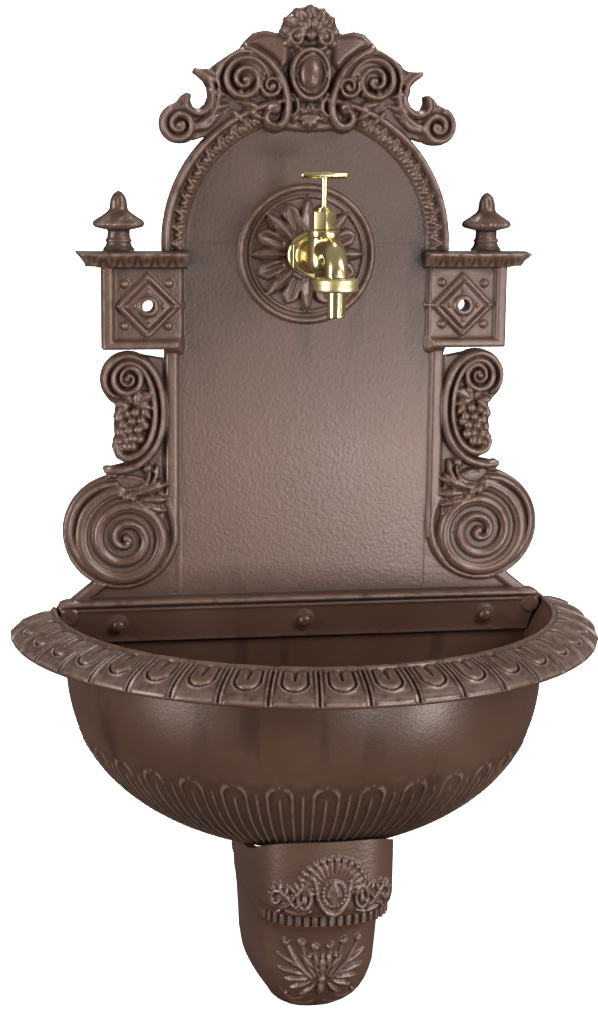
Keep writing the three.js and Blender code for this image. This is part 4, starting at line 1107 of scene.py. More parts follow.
for k in range(5):
    plate.leaf(*at(0, 169), 9.4, 4.4, 3.0, CREST + 1.6, 200 + 35 * k, k=0.3, hollow=0.9)

# %% [markdown]
# ## The rosette
#
# Behind the tap is a moulded ring with sixteen petals. Eight are long, narrow and keeled, and
# eight between them are broad and hollow like a spoon.

# %% Rosette
rx, rz = 0.0, ROSETTE_HEIGHT
where, x, z = plate.part(0, 52, 16, 120)
radius = np.hypot(x - rx, z - rz)
profile_r = np.array([0, 40.4, 41.0, 41.9, 42.8, 43.4, 45.6, 46.4, 47.6, 48.9, 50.0, 50.5, 51.2])
profile_h = np.array([-.6, -.6, 0.4, 1.5, 0.6, -.2, -.2, 1.6, 3.2, 3.2, 1.8, 0.2, -3.0])
ring = FIELD + np.interp(radius, profile_r, profile_h)
plate.out[where] = np.where(radius < 51.2, np.where(radius < 40.6, ring, np.maximum(ring, FIELD)), plate.out[where])
for k in range(16):
    degrees = 22.5 * k + 90
    if math.cos(math.radians(degrees)) < -0.3:
        continue
    if k % 2 == 0:
        plate.leaf(*spoke(rx, rz, degrees, 13), 28.5, 9.2, 4.6, FIELD + 1.6, degrees, tip=0.42, k=0.3, veins=0.55)
        plate.ridge([spoke(rx, rz, degrees, r) for r in (16, 28, 40)], [1.2, 1.0, 0.5], [1.6, 1.8, 1.0],
                    [FIELD + 5.4, FIELD + 5.6, FIELD + 2.6], k=0.5)
    else:
        plate.leaf(*spoke(rx, rz, degrees, 12), 26.5, 12.8, 4.4, FIELD + 0.4, degrees, tip=0.74, hollow=3.6, k=0.3)
plate.lay(where, FIELD + 3.4, radius < 19)

# %% [markdown]
# ## The foot
#
# At its foot the plate steps forward in a ledge and hangs down inside the basin as a flange
# that takes the three bolts.

# %% Ledge and flange
shoulder_x = 182.9
flange_line = [(-5, -216.9), (173.5, -216.9), (shoulder_x - 2, -196), (shoulder_x, -190.4),
               (shoulder_x - 1.2, -187.2),
               (shoulder_x - 6, -185.6), (-5, -185.4)]
plate.panel(polygon(flange_line), (0, 184, -218, -184), 13.2, 1.0, k=0.3)
plate.ridge([(-5, -187.6), (90, -187.6), (shoulder_x - 4, -187.8)], 2.3, 3.0, 13.0, k=0.4, flat=0.2)
plate.ridge([(-5, -192.6), (90, -192.6), (shoulder_x - 6, -192.8)], 1.1, 1.0, 13.0, k=0.4)
plate.panel(disc(shoulder_x - 7.5, -196.5, 7.0), (164, 184, -206, -186), 14.8, 2.0, k=0.6)
for bolt_x in (0, 139.5):
    plate.bead(bolt_x, -204.0, 8.2, 1.4, 13.0, k=0.5)

# %% The holes for the screws, the tap and the bolts
SCREW_HOLE, TAP_HOLE, BOLT_HOLE = 4.5, 10.4, 3.2
BOLT_SIDE, BOLT_HEIGHT = 139.5, -204.0
for hole_x, hole_z, size in ((sx, sz, SCREW_HOLE), (0, ROSETTE_HEIGHT, TAP_HOLE),
                             (0, BOLT_HEIGHT, BOLT_HOLE), (BOLT_SIDE, BOLT_HEIGHT, BOLT_HOLE)):
    plate.rim = np.maximum(plate.rim, size - np.hypot(plate.X - hole_x, plate.Z - hole_z))
plate.out = np.clip(blurred(plate.out, 1), 1.0, 23.95)
worn, hollow = relief_marks(plate.out, plate.step, 2.4, 1.6)

# %% The plate becomes a casting
back_plate = casting_from(plate, "cast_back_plate")
lightened(back_plate, PLATE_FACES)
without_long_edges(back_plate, 0.009)
spots = points_of(back_plate) * 1000
across, up_from_zero, out = np.abs(spots[:, 0]), spots[:, 2] + SCREW_LINE, -spots[:, 1]
front = out > 1.0
# Painted shade: the plain field's colour is darkened toward the arch, through its hollow mark, to stand in for the
# shade under the crest.
painted_shade_under_crest = 0.5 * np.clip((up_from_zero + 80) / 140, 0, 1) * (np.abs(out - FIELD) < 0.5)
mark_relief(back_plate, plate.height_at(across, up_from_zero, worn) * front,
            np.maximum(plate.height_at(across, up_from_zero, hollow), painted_shade_under_crest) * front)
stands_for(back_plate, "back_plate", "fountain", plate_paint)
# Broad flat faces decide the shading of their corners, so that flat panels look flat.
apply_modifier(back_plate, "WEIGHTED_NORMAL", weight=50, keep_sharp=True)
# %% [markdown]
# ## The basin
#
# The basin is half round with a short straight run at the wall. A spin would give the round
# but not the carving on its rim, so the surface is laid out as one grid: columns round the
# plan, rows along the profile. Each point is then pushed out along its normal by the carving.
# Depths here are millimetres below the drawings' zero.

# %% The basin's plan and profile
RUN = 12.9  # straight from the wall to the half circle
MOUTH, LIP, BOWL = 184.9, 218.3, 177.9
RIM_TOP, BOWL_TOP, BOWL_DEPTH = 193.2, 220.0, 151.0
BACK_WALL, BASIN_TOP = 8.0, 189.9
UNIT = 8.82  # degrees from one tongue of the rim to the next
DART = 1.36  # where the middle dart is, in degrees right of the middle
FLUTE = 11.1  # degrees from one flute of the bowl to the next

arc = np.linspace(-90, 90, 941)
run = np.concatenate([np.linspace(0, BACK_WALL, 9)[:-1], np.linspace(BACK_WALL, RUN, 7)[:-1]])
# How far round each column is, in degrees of the half circle, running on at its ends.
straight = 90 + np.degrees((RUN - run) / 201)
around = np.concatenate([-straight, arc, straight[::-1]])
side_x = np.concatenate([-np.ones(len(run)), np.sin(np.radians(arc)), np.ones(len(run))])
side_y = np.concatenate([np.zeros(len(run)), np.cos(np.radians(arc)), np.zeros(len(run))])
stand = np.concatenate([run, np.full(len(arc), RUN), run[::-1]])


def along(profile, step):
    """A profile resampled at even steps of its own length."""
    length = np.concatenate([[0], np.cumsum(np.hypot(*np.diff(profile, axis=0).T))])
    places = np.linspace(0, length[-1], max(int(length[-1] / step), 2) + 1)
    return np.stack([np.interp(places, length, profile[:, k]) for k in range(2)], 1), places


rim_profile = curve_through([
    (184.5, 194.4), (184.2, 192.9), (184.9, 191.6), (186.3, 191.3), (187.5, 192.3), (188.4, 193.6),
    (191.0, 193.9), (201.6, 197.2), (210.3, 201.2), (215.2, 204.6), (217.8, 208.0), (218.2, 210.2),
    (217.2, 211.7), (214.4, 212.0), (205.0, 211.0), (192.0, 210.6)], 10)
rim_rows, rim_run = along(rim_profile, 0.72)
under_rows, _ = along(curve_through([(192.0, 210.6), (184.0, 211.4), (180.0, 213.8), (178.2, 217.2),
                                     (BOWL, 220.4)], 6), 2.4)
share = np.linspace(0.0, 0.994, 400)
bowl_rows, _ = along(np.stack([BOWL * (1 - share ** 2.74) ** (1 / 1.67), BOWL_TOP + BOWL_DEPTH * share],
                              1)[2:], 2.1)
rows = np.vstack([rim_rows, under_rows[1:-1], bowl_rows])
print(len(around), "columns and", len(rows), "rows")

# %% [markdown]
# The rim is carved with tongues, the lamb's tongue pattern: each is a U cut round by a dark
# groove, with a slit that runs out from the mouth. Two fine ridges stand between
# neighbours. On the bowl, thin raised lines form narrow arches that run down and together.

# %% Carving on the rim and the bowl
AROUND, R = np.meshgrid(around, rows[:, 0])
_, D = np.meshgrid(around, rows[:, 1])
P = (AROUND - DART) / UNIT
row_run = np.concatenate([rim_run, rim_run[-1] + np.arange(1, len(rows) - len(rim_run) + 1)])
RUN_ALONG = np.repeat(row_run[:, None], len(around), 1)
width = np.radians(UNIT) * R  # of a unit at this row
from_dart = (P - np.round(P)) * width
from_tongue = (P - 0.5 - np.round(P - 0.5)) * width
start = rim_run[np.argmin(np.abs(rim_rows[:, 0] - 188.6) + 9 * (rim_rows[:, 1] > 200))]
q = RUN_ALONG - start  # from the bead outwards


def line(distance, half):
    return np.exp(-(distance / half) ** 2)


def step_up(value, low, high):
    t = np.clip((value - low) / (high - low), 0, 1)
    return t * t * (3 - 2 * t)


on_rim = step_up(q, -0.6, 0.8) * (1 - step_up(q, 34.5, 36.5))
half_u = 7.7 + 1.4 * np.clip(q, 0, 22) / 22
round_end = 14.6
to_u = np.where(q < round_end, np.abs(from_tongue) - half_u,
                np.hypot(from_tongue, (q - round_end) * 1.02) - half_u)
inside_u = 1 - step_up(to_u, -0.9, -0.1)
pillow = inside_u * 1.25 * np.clip(1 - (np.abs(from_tongue) / (half_u + 0.5)) ** 2, 0, 1) ** 0.7 * step_up(q, -2, 6)
slit_half = np.clip(2.1 * (1 - q / 16.0), 0.05, None)
slit = np.where(q < 16, np.exp(-(from_tongue / (slit_half + 0.3)) ** 2), 0) * (1 - step_up(q, 13.0, 16.0))
relief = on_rim * (pillow - 2.3 * slit * inside_u)
relief -= on_rim * 1.5 * line(to_u - 0.15, 0.75)
relief += on_rim * 0.75 * line(to_u - 1.7, 0.85)
relief -= on_rim * 1.5 * line(from_dart, 0.62)
relief += on_rim * 1.1 * line(np.abs(from_dart) - 1.55, 0.8)
relief -= on_rim * 0.7 * line(np.abs(from_dart) - 3.0, 0.6)
cove = step_up(q, 23, 26.5) * (1 - step_up(q, 31, 33.5)) * step_up(np.abs(from_dart), 2.6, 4.5)
relief -= 0.8 * cove
# Painted highlight: the lip below the tongues and the bead at the mouth are painted lighter, through the worn mark,
# to stand in for the sheen the lamps give their flats.
painted_rim_highlight = step_up(q, 24, 28) * (1 - step_up(q, 33, 36)) * step_up(np.abs(from_dart), 2.0, 3.4)
painted_rim_highlight = np.maximum(painted_rim_highlight, 0.7 * step_up(q, -7.0, -5.5) * (1 - step_up(q, -3.4, -2.2)))
# The bead at the mouth is nicked where the ridges meet it.
bead = step_up(q, -7.5, -5.5) * (1 - step_up(q, -1.6, -0.4))
relief -= bead * 0.45 * np.maximum(line(np.abs(from_dart) - 2.4, 0.7), line(from_dart, 0.6))

flute_top = 281.0
flute_phase = (AROUND - 1.0) / FLUTE
flute_middle = np.abs(flute_phase - 0.5 - np.round(flute_phase - 0.5))
flute_between = np.abs(flute_phase - np.round(flute_phase))
flute = step_up(D, flute_top - 4, flute_top + 6) * (D > 230) * (1 - step_up(D, 360, 369))
reach = np.clip((D - flute_top) / 9.0, 0, 1)
arch_half = 0.27 * np.sqrt(1 - (1 - reach) ** 2 + 1e-9)
thin = 0.024 + 0.014 * (1 - np.clip(R / 150, 0, 1))
# An arch's sides are steep at first, so its line is widened there to stay as thick.
lean = 1 + 2.2 * (1 - reach) * (reach > 0)
lines_there = line(flute_middle - arch_half, thin * lean) * step_up(D, flute_top - 0.8, flute_top + 0.4)
lines_there = np.maximum(lines_there, line(flute_middle, thin) * step_up(D, flute_top + 8, flute_top + 14))
lines_there = np.maximum(lines_there, line(flute_between, thin) * step_up(D, flute_top + 4, flute_top + 10))
deep = np.clip(R / 110, 0.15, 1)
relief += (D > 230) * 0.95 * lines_there * deep * (1 - step_up(D, 360, 369))
relief -= flute * 0.35 * deep * (1 - lines_there)

mesh_normal = np.gradient(rows, axis=0)
mesh_normal /= np.hypot(*mesh_normal.T)[:, None]
out_r, out_d = -mesh_normal[:, 1], mesh_normal[:, 0]  # turned a quarter
if out_r[len(rim_rows) // 2] < 0:
    out_r, out_d = -out_r, -out_d
radius = R + relief * out_r[:, None]
depth = D + relief * out_d[:, None]
print("carving from", round(float(relief.min()), 2), "to", round(float(relief.max()), 2), "mm")

# %% [markdown]
# The grid becomes one closed casting: the carved outside, a plain inside, the flat back
# against the wall and the strip on top of it that carries the plate's foot.

# %% The basin's mesh
def basin_place(radius, depth):
    return np.stack([radius * side_x, -(stand + radius * side_y),
                     np.broadcast_to(-SCREW_LINE - depth, radius.shape)], -1)


def grid_quads(mesh, grid):
    for upper, lower in zip(grid[:-1], grid[1:]):
        for i in range(len(upper) - 1):
            mesh.faces.new((upper[i], upper[i + 1], lower[i + 1], lower[i]))


def add_points(mesh, places):
    return [mesh.verts.new(p / 1000) for p in places]


def flat_fill(mesh, loop):
    face = mesh.faces.new(loop)
    bmesh.ops.triangulate(mesh, faces=[face], ngon_method="EAR_CLIP")


outside = basin_place(radius, depth)
columns = len(around)
first_in = 8  # the column at the back wall's face
last_in = columns - 1 - first_in
plain = BOWL - 5
cavity = [(MOUTH + (plain - MOUTH) * s ** 0.8, 196.0 + (BOWL_TOP - 196.0) * s)
          for s in np.linspace(0.02, 1, 9)]
for s in np.sin(np.linspace(0.08, 1.50, 17)):
    cavity.append((plain * (1 - s ** 2.74) ** (1 / 1.67), BOWL_TOP + (BOWL_DEPTH - 5) * s))
basin_mesh = bmesh.new()
outer_grid = [add_points(basin_mesh, row) for row in outside]
inner_grid = [outer_grid[0][first_in:last_in + 1]]
for r, d in cavity:
    row = basin_place(np.full(columns, float(r)), np.float64(d))[first_in:last_in + 1]
    inner_grid.append(add_points(basin_mesh, row))
grid_quads(basin_mesh, outer_grid)
grid_quads(basin_mesh, inner_grid)
corner = MOUTH - 2.0
top = [basin_mesh.verts.new((x / 1000, y / 1000, (-SCREW_LINE - BASIN_TOP) / 1000))
       for x, y in ((-corner, 0), (-corner, -BACK_WALL), (corner, -BACK_WALL), (corner, 0))]
basin_mesh.faces.new(top)
basin_mesh.faces.new([top[0], *outer_grid[0][:first_in + 1], top[1]])
basin_mesh.faces.new([top[2], *outer_grid[0][last_in:], top[3]])
flat_fill(basin_mesh, [top[0]] + [row[0] for row in outer_grid] + [row[-1] for row in outer_grid[::-1]] + [top[3]])
flat_fill(basin_mesh, [top[1]] + [row[0] for row in inner_grid] + [row[-1] for row in inner_grid[::-1]] + [top[2]])
flat_fill(basin_mesh, list(outer_grid[-1]))
flat_fill(basin_mesh, list(inner_grid[-1]))
bmesh.ops.recalc_face_normals(basin_mesh, faces=basin_mesh.faces)
basin_piece = from_bmesh("cast_basin", basin_mesh)
worn, hollow = relief_marks(relief, 0.72, reach=2.2, strength=0.55)
# The basin's worn mark also carries the painted highlight of its lip and bead.
mark_grid(basin_piece, relief, np.maximum(worn, 0.9 * painted_rim_highlight), hollow)
lightened(basin_piece, BASIN_FACES)
kept_inside(basin_piece, "basin", 1e-5)
stands_for(basin_piece, "basin", "fountain", bowl_paint)

# %% [markdown]
# ## The bracket
#
# The hollow bracket under the basin is a U in plan with a bowed front. It is laid out like the
# basin: columns round the plan, rows downwards. Its ornament is carved on its own clay board,
# which is then wrapped round the bowed front: a ribbed fan with a shield, scrolls and leaves
# beside it, a row of small teeth, and a spray of leaves below.

# %% Carving the bracket's front
front_board = Board(-74, 74, -497, -322, 0.5)
FAN = (0.0, -371.5)


def both(draw):
    """The ornament is the same left and right."""
    for side in (-1, 1):
        draw(side)


def turned(degrees, side):
    return degrees if side > 0 else 180 - degrees


def fan_rib(side):
    for k in range(8):
        a = 84 - 12.0 * k
        x, z = spoke(*FAN, a, side * 11.5, 11.5)
        front_board.leaf(x, z, 15.0 - 0.5 * k, 4.2, 2.6, 0.4, turned(a, side), hollow=0.9, tip=0.7, k=0.3)
        if k < 6:
            front_board.bead(*spoke(*FAN, a, side * 25.0, 25.0), 1.9, 2.2, 0.6)


both(fan_rib)
front_board.panel(disc(*FAN, 13.2, 15.5), (-14, 14, -388, -355), 1.2, 1.0)
shield = curve_through([(-15.2, -359.5), (-13.0, -362.5), (-11.8, -369), (-10.2, -377), (-5.6, -384), (0, -386.3),
                        (5.6, -384), (10.2, -377), (11.8, -369), (13.0, -362.5), (15.2, -359.5)], 8)
front_board.ridge(shield, 1.25, 2.4, 1.2, k=0.3)
for k in range(18):
    front_board.bead(*spoke(FAN[0], FAN[1] - 0.5, 20 * k + 10, 8.2, 9.2), 1.25, 1.5, 1.3)
front_board.leaf(0, -380, 17.5, 8.2, 2.0, 1.3, 90, hollow=1.0, veins=0.4, tip=0.4, k=0.3)
front_board.ridge([(-3.6, -374), (0, -362.4), (3.6, -374)], 0.9, 1.0, 2.0, k=0.3)


def side_scroll(s):
    front_board.ridge(np.array([(s * 20.5 + s * 4.6 * math.cos(t), -375.5 + 7.6 * math.sin(t))
                                for t in np.linspace(0, 2 * math.pi, 30)]), 1.5, 2.2, 0.5, k=0.3)
    front_board.bead(s * 20.5, -376.5, 2.2, 2.4, 0.6, rz=4.0)
    for k in range(4):
        front_board.leaf(s * (19.0 + 2.6 * k), -367.5 - 1.4 * k, 6.5, 2.8, 2.0, 0.5, turned(96 - 16 * k, s), k=0.3)
    front_board.ridge(curve_through([(s * 24.5, -384.5), (s * 29, -380.5), (s * 34, -374.5), (s * 39.5, -371.2),
                                     (s * 44, -373.8), (s * 44.3, -379), (s * 40.6, -380.6),
                                     (s * 38.6, -377.4)], 8),
                      [1.0, 1.5, 1.7, 1.5, 1.1], [1.6, 2.4, 2.6, 2.0], 0.4, k=0.3)
    for k, (x, z, length, a) in enumerate([(30.5, -379.5, 9.5, 118), (34, -375.5, 9.0, 100),
                                           (37.5, -372.5, 7.5, 84),
                                           (41.5, -372.0, 6.0, 58), (44.5, -374.5, 5.0, 24),
                                           (27.5, -383.5, 9.0, 132),
                                           (31.5, -381.5, 8.5, -14), (36.0, -384.0, 7.0, -30)]):
        front_board.leaf(s * x, z, length, 3.0, 2.2, 0.4, turned(a, s), veins=0.4, lobes=2, k=0.3)
    front_board.ridge(curve_through([(s * 16.5, -385.0), (s * 23, -386.6), (s * 31, -386.0), (s * 37, -383.4)], 6),
                      [0.8, 1.1, 0.7], 1.5, 0.3, k=0.3)


both(side_scroll)
# The soft ledge over the teeth, and the teeth.
front_board.ridge([(-73, -388.3), (73, -388.3)], 1.3, 1.0, -0.2, k=0.5)
for k in range(-9, 10):
    x = 6.1 * k
    front_board.panel(rectangle(x - 1.75, x + 1.75, -399.0, -391.4), (x - 2, x + 2, -400, -391), 0.3, 0.6, k=0.2)
gaps = (np.abs(front_board.X) < 58) & (np.abs(front_board.Z + 395.2) < 3.9)
between = np.abs((front_board.X / 6.1 - np.round(front_board.X / 6.1)) * 6.1) > 1.95
front_board.out = np.where(gaps & between, -2.0, front_board.out)


def spray(s):
    base = 0.3
    # Stems that end in curls, a long bright blade, and leaves that hang below.
    for foot, head, half in [((2.5, -450), (5.5, -427.0), 1.2), ((5.0, -451), (15.5, -423.5), 1.3),
                             ((7.5, -452), (27.0, -423.0), 1.3)]:
        middle = ((foot[0] + head[0]) / 2 + 1.5, (foot[1] + head[1]) / 2 - 1.5)
        front_board.ridge(curve_through([(s * x, z) for x, z in (foot, middle, head)], 8),
                          [half, half * 1.2, half * 0.8], [1.6, 2.0, 1.6], base, k=0.3)
        x, z = s * (head[0] - 0.4), head[1] + 0.4
        front_board.ridge(spiral(x, z, 60 if s > 0 else 120, 1.1 * s, 2.5, 0.7, 30), 0.75, 1.3, 1.0, k=0.2)
        front_board.bead(x, z, 1.2, 1.7, 1.4)
    for x, z, length, width, a, bend in [
            (13.0, -445.0, 24.0, 3.4, 38, 0.10), (12.0, -449.0, 21.0, 4.6, 20, 0.12),
            (10.0, -452.5, 17.0, 4.2, 2, 0.06),
            (8.5, -455.5, 15.0, 4.2, -20, 0.0), (5.0, -458.0, 13.5, 4.2, -46, -0.06),
            (6.5, -444.0, 13.5, 4.6, 58, 0.14),
            (3.5, -442.0, 10.0, 4.0, 82, 0.1)]:
        front_board.leaf(s * x, z, length, width, 2.5, base, turned(a, s), lobes=3, veins=0.5, hollow=0.5,
                         bend=-bend * s, k=0.3)
    for x, z, r in [(9.5, -434.0, 1.7), (20.5, -440.0, 1.5), (17.0, -458.0, 1.6), (11.0, -465.0, 1.5),
                    (25.0, -466.0, 1.3)]:
        front_board.bead(s * x, z, r, 2.0, 0.7)
    front_board.ridge(curve_through([(s * 12.0, -471.0), (s * 18, -472.6), (s * 25, -468.6),
                                     (s * 30.5, -462.0)], 8),
                      [0.8, 1.3, 0.6], [1.0, 1.5, 0.6], 0.2, k=0.3)
    front_board.ridge(curve_through([(s * 4.0, -475.5), (s * 10, -478.0), (s * 18, -477.0), (s * 25, -472.6)], 8),
                      [0.8, 1.2, 0.5], [0.9, 1.1, 0.4], 0.2, k=0.3)


both(spray)
front_board.leaf(0, -451.0, 17.0, 7.0, 2.8, 0.5, 90, lobes=3, veins=0.6, hollow=0.7, k=0.3)
front_board.leaf(0, -455.0, 13.0, 6.0, 2.4, 0.4, -90, lobes=3, veins=0.6, hollow=0.5, k=0.3)
front_board.bead(0, -452.5, 2.6, 2.2, 1.2)
front_board.out = np.clip(blurred(front_board.out, 1), -2.2, 4.2)
print("carved", int((front_board.out > 0.2).sum()), "spots of the bracket's front")

# %% [markdown]
# The board is wrapped round the bracket. Each column starts just under the basin, whose round
# is known, so the top edge follows the bowl with a thin dark joint.

# %% The bracket's mesh
LEVELS = np.array([
    (1.06, 1.01, 0.71, 1.0, 325.0), (1.05, 1.0, 0.71, 1.0, 383.6), (1.04, 0.99, 0.705, 0.995, 386.2),
    (1.03, 0.98, 0.70, 0.985, 387.8), (1.02, 0.955, 0.69, 0.968, 389.2), (1.01, 0.95, 0.69, 0.965, 398.6),
    (1.00, 0.935, 0.64, 0.89, 401.6), (0.99, 0.92, 0.57, 0.80, 405.0), (0.98, 0.91, 0.54, 0.755, 409.0),
    (0.97, 0.9, 0.53, 0.742, 414.0), (0.95, 0.877, 0.525, 0.73, 430.0), (0.93, 0.85, 0.52, 0.715, 447.4),
    (0.905, 0.812, 0.507, 0.70, 455.5), (0.88, 0.77, 0.49, 0.68, 462.7), (0.835, 0.71, 0.468, 0.648, 470.0),
    (0.78, 0.64, 0.44, 0.61, 476.3), (0.71, 0.56, 0.402, 0.568, 481.4), (0.62, 0.47, 0.36, 0.52, 485.7),
    (0.52, 0.37, 0.312, 0.457, 489.6), (0.4, 0.26, 0.26, 0.39, 492.5), (0.2, 0.1, 0.14, 0.24, 494.8)])
HALF, FRONT = 50.0, 141.0
side_steps = np.linspace(0, 1, 34)[:-1]
bow_steps = np.linspace(0, 180, 241)


def bracket_plan(below, inset=0.0):
    """The plan at one depth: right side, bowed front, left side, with the way round it."""
    wide, narrow, corner, nose = (np.interp(below, LEVELS[:, 4], LEVELS[:, k]) for k in range(4))
    w0, w1 = HALF * wide - inset, max(HALF * narrow - inset, 1.0)
    reach = FRONT * corner - inset * 0.7
    bow = max(FRONT * nose - inset - reach, 1.0)
    x = w0 + (w1 - w0) * side_steps + 0.8 * np.sin(math.pi * side_steps)
    c, s = np.cos(np.radians(bow_steps)), np.sin(np.radians(bow_steps))
    fuller = 2 / 2.35  # a little squarer than an ellipse
    front_x = w1 * np.sign(c) * np.abs(c) ** fuller
    front_y = reach + bow * s ** fuller
    plan = np.vstack([np.stack([x, reach * side_steps], 1), np.stack([front_x, front_y], 1),
                      np.stack([-x[::-1], reach * side_steps[::-1]], 1)])
    middle = len(plan) // 2
    steps = np.hypot(*np.diff(plan, axis=0).T)
    way = np.concatenate([[0], np.cumsum(steps)])
    return plan, -(way - way[middle])


def bowl_over(plan):
    """How deep the bowl's outside is over each point of a plan."""
    r = np.hypot(plan[:, 0], np.maximum(plan[:, 1] - RUN, 0))
    inner = 1 - np.clip(r / BOWL, 0, 1) ** 1.67
    return BOWL_TOP + BOWL_DEPTH * inner ** (1 / 2.74)


def bracket_grid(inset, top_gap, rows_above, rows_below, foot, front_gap=2.0):
    """Rows of (plan, way round, depths). The upper rows spread evenly from the bowl to a level row."""
    high, level = 350.0, 374.0
    (upper, way), (lower, _) = (bracket_plan(d, inset) for d in (high, level))
    tops = bowl_over(upper) + top_gap + front_gap * step_up(upper[:, 1], 45, 75)
    grid = []
    for t in np.linspace(0, 1, rows_above)[:-1]:
        depths = tops + (level - tops) * t
        mix_in = np.clip((depths - high) / (level - high), 0, 1)[:, None]
        grid.append((upper * (1 - mix_in) + lower * mix_in, way, depths))
    for d in np.linspace(level, foot, rows_below):
        plan, way = bracket_plan(d, inset)
        grid.append((plan, way, np.full(len(plan), d)))
    return grid


outer_rows = bracket_grid(0.0, 1.6, 44, 176, 494.8)
inner_rows = bracket_grid(5.0, 0.9, 8, 30, 489.0, 0.3)
plans, ways, depths = (np.array(column) for column in zip(*outer_rows))
rise = front_board.height_at(np.clip(ways, -73, 73), -depths)
rise = rise * (1 - step_up(np.abs(ways), 60, 66))
surface = np.stack([plans[..., 0], -plans[..., 1], -depths], -1)
along_row = np.gradient(surface, axis=1)
down_row = np.gradient(surface, axis=0)
facing = np.cross(down_row, along_row)
facing /= np.maximum(np.linalg.norm(facing, axis=-1, keepdims=True), 1e-9)
if facing[60, len(facing[60]) // 2, 1] > 0:
    facing = -facing
surface = surface + facing * rise[..., None]
surface[:, (0, -1), 1] = 0
worn, hollow = relief_marks(rise, 0.7, reach=2.2, strength=1.0)

bracket_mesh = bmesh.new()


def to_world(points):
    moved = np.array(points, float)
    moved[..., 2] -= SCREW_LINE
    return moved


outer_grid = [add_points(bracket_mesh, row) for row in to_world(surface)]
inner_grid = []
for plan, _, depth_row in inner_rows:
    inner_grid.append(add_points(bracket_mesh, to_world(np.stack([plan[:, 0], -plan[:, 1], -depth_row], -1))))
grid_quads(bracket_mesh, outer_grid)
grid_quads(bracket_mesh, inner_grid)
grid_quads(bracket_mesh, [outer_grid[0], inner_grid[0]])
bracket_mesh.faces.new(outer_grid[-1])
bracket_mesh.faces.new(inner_grid[-1])
flat_fill(bracket_mesh, [row[0] for row in outer_grid] + [row[-1] for row in outer_grid[::-1]]
          + [row[-1] for row in inner_grid] + [row[0] for row in inner_grid[::-1]])
bmesh.ops.recalc_face_normals(bracket_mesh, faces=bracket_mesh.faces)
bracket_piece = from_bmesh("cast_bracket", bracket_mesh)
mark_grid(bracket_piece, rise, worn, hollow)
lightened(bracket_piece, BRACKET_FACES)
kept_inside(bracket_piece, "bracket", 1e-5)
stands_for(bracket_piece, "bracket", "fountain", bracket_paint)

# %% [markdown]
# ## The tap
#
# The tap is turned and filed brass. Its round parts are profiles spun about an axis, its spout
# is a round bar along a curve, and its hexagons are six-sided prisms with bevelled edges. All
# heights are in millimetres above the drawings' zero.

# %% Ways to make turned, bent and six-sided brass
SPINDLE_OUT, OUTLET_OUT, AXIS_HEIGHT = 74.0, 122.0, 68.4
UPRIGHT = Matrix.Identity(4)
OUT_OF_WALL = Matrix.Rotation(math.pi / 2, 4, "X")


def edit(piece):
    pick(piece)
    bpy.ops.object.mode_set(mode="EDIT")
    bpy.ops.mesh.select_all(action="SELECT")


def welded(piece):
    """Joins points that lie on each other and turns all faces outwards, in edit mode."""
    bpy.ops.mesh.select_all(action="SELECT")
    bpy.ops.mesh.remove_doubles(threshold=2e-6)
    bpy.ops.mesh.normals_make_consistent(inside=False)
    bpy.ops.object.mode_set(mode="OBJECT")
    return piece


def turned_part(name, profile, place, lie=UPRIGHT, steps=48):
    """A profile of (radius, height) spun round; place and profile are in millimetres."""
    mesh = bpy.data.meshes.new(name)
    points = [(r / 1000, 0, h / 1000) for r, h in profile]
    mesh.from_pydata(points, [(i, i + 1) for i in range(len(points) - 1)], [])
    piece = placed(name, mesh)
    edit(piece)
    bpy.ops.mesh.spin(steps=steps, angle=2 * math.pi, center=(0, 0, 0), axis=(0, 0, 1))
    welded(piece).data.transform(Matrix.Translation(Vector(place) / 1000) @ lie)
    return piece


def hexagon_bar(name, radius, height, place, lie, soften):
    """A six-sided bar of brass with softened edges; place is its middle."""
    deselect_all()
    bpy.ops.mesh.primitive_cylinder_add(vertices=6, radius=radius / 1000, depth=height / 1000,
                                        location=(0, 0, 0))
    piece = bpy.context.object
    piece.name = name
    edit(piece)
    bpy.ops.mesh.bevel(offset=soften / 1000, segments=3, affect="EDGES")
    bpy.ops.object.mode_set(mode="OBJECT")
    piece.data.transform(Matrix.Translation(Vector(place) / 1000) @ lie)
    return piece


def bent_bar(name, points, radius):
    """A round bar along a smooth curve, closed at both ends. Radius may vary from point to point."""
    curve = bpy.data.curves.new(name, "CURVE")
    curve.dimensions = "3D"
    curve.bevel_depth = 1.0
    curve.bevel_resolution = 8
    curve.use_fill_caps = True
    curve.resolution_u = 10
    line_of = curve.splines.new("NURBS")
    line_of.points.add(len(points) - 1)
    for spot, place, r in zip(line_of.points, points, radius):
        spot.co = (*[c / 1000 for c in place], 1)
        spot.radius = r / 1000
    line_of.use_endpoint_u = True
    line_of.order_u = 4
    pick(placed(name, curve))
    bpy.ops.object.convert(target="MESH")
    piece = bpy.context.object
    edit(piece)
    return welded(piece)


def bored(piece, cutter):
    """A hole, cut by another part that is then thrown away."""
    apply_modifier(piece, "BOOLEAN", operation="DIFFERENCE", object=cutter, solver="EXACT")
    bpy.data.objects.remove(cutter)
    return piece


def joined(name, parts):
    """Several parts soldered into one piece."""
    deselect_all()
    for part in parts:
        part.select_set(True)
    bpy.context.view_layer.objects.active = parts[0]
    if len(parts) > 1:
        bpy.ops.object.join()
    piece = bpy.context.object
    piece.name = name
    piece.data.name = name
    return piece


def finished(piece, node, body, material):
    """Lowers a piece to the wall screws' zero, and puts it in its node's box and place."""
    piece.data.transform(Matrix.Translation((0, 0, -SCREW_LINE / 1000)))
    kept_inside(piece, node, 1e-6)
    stands_for(piece, node, body, material, 32)


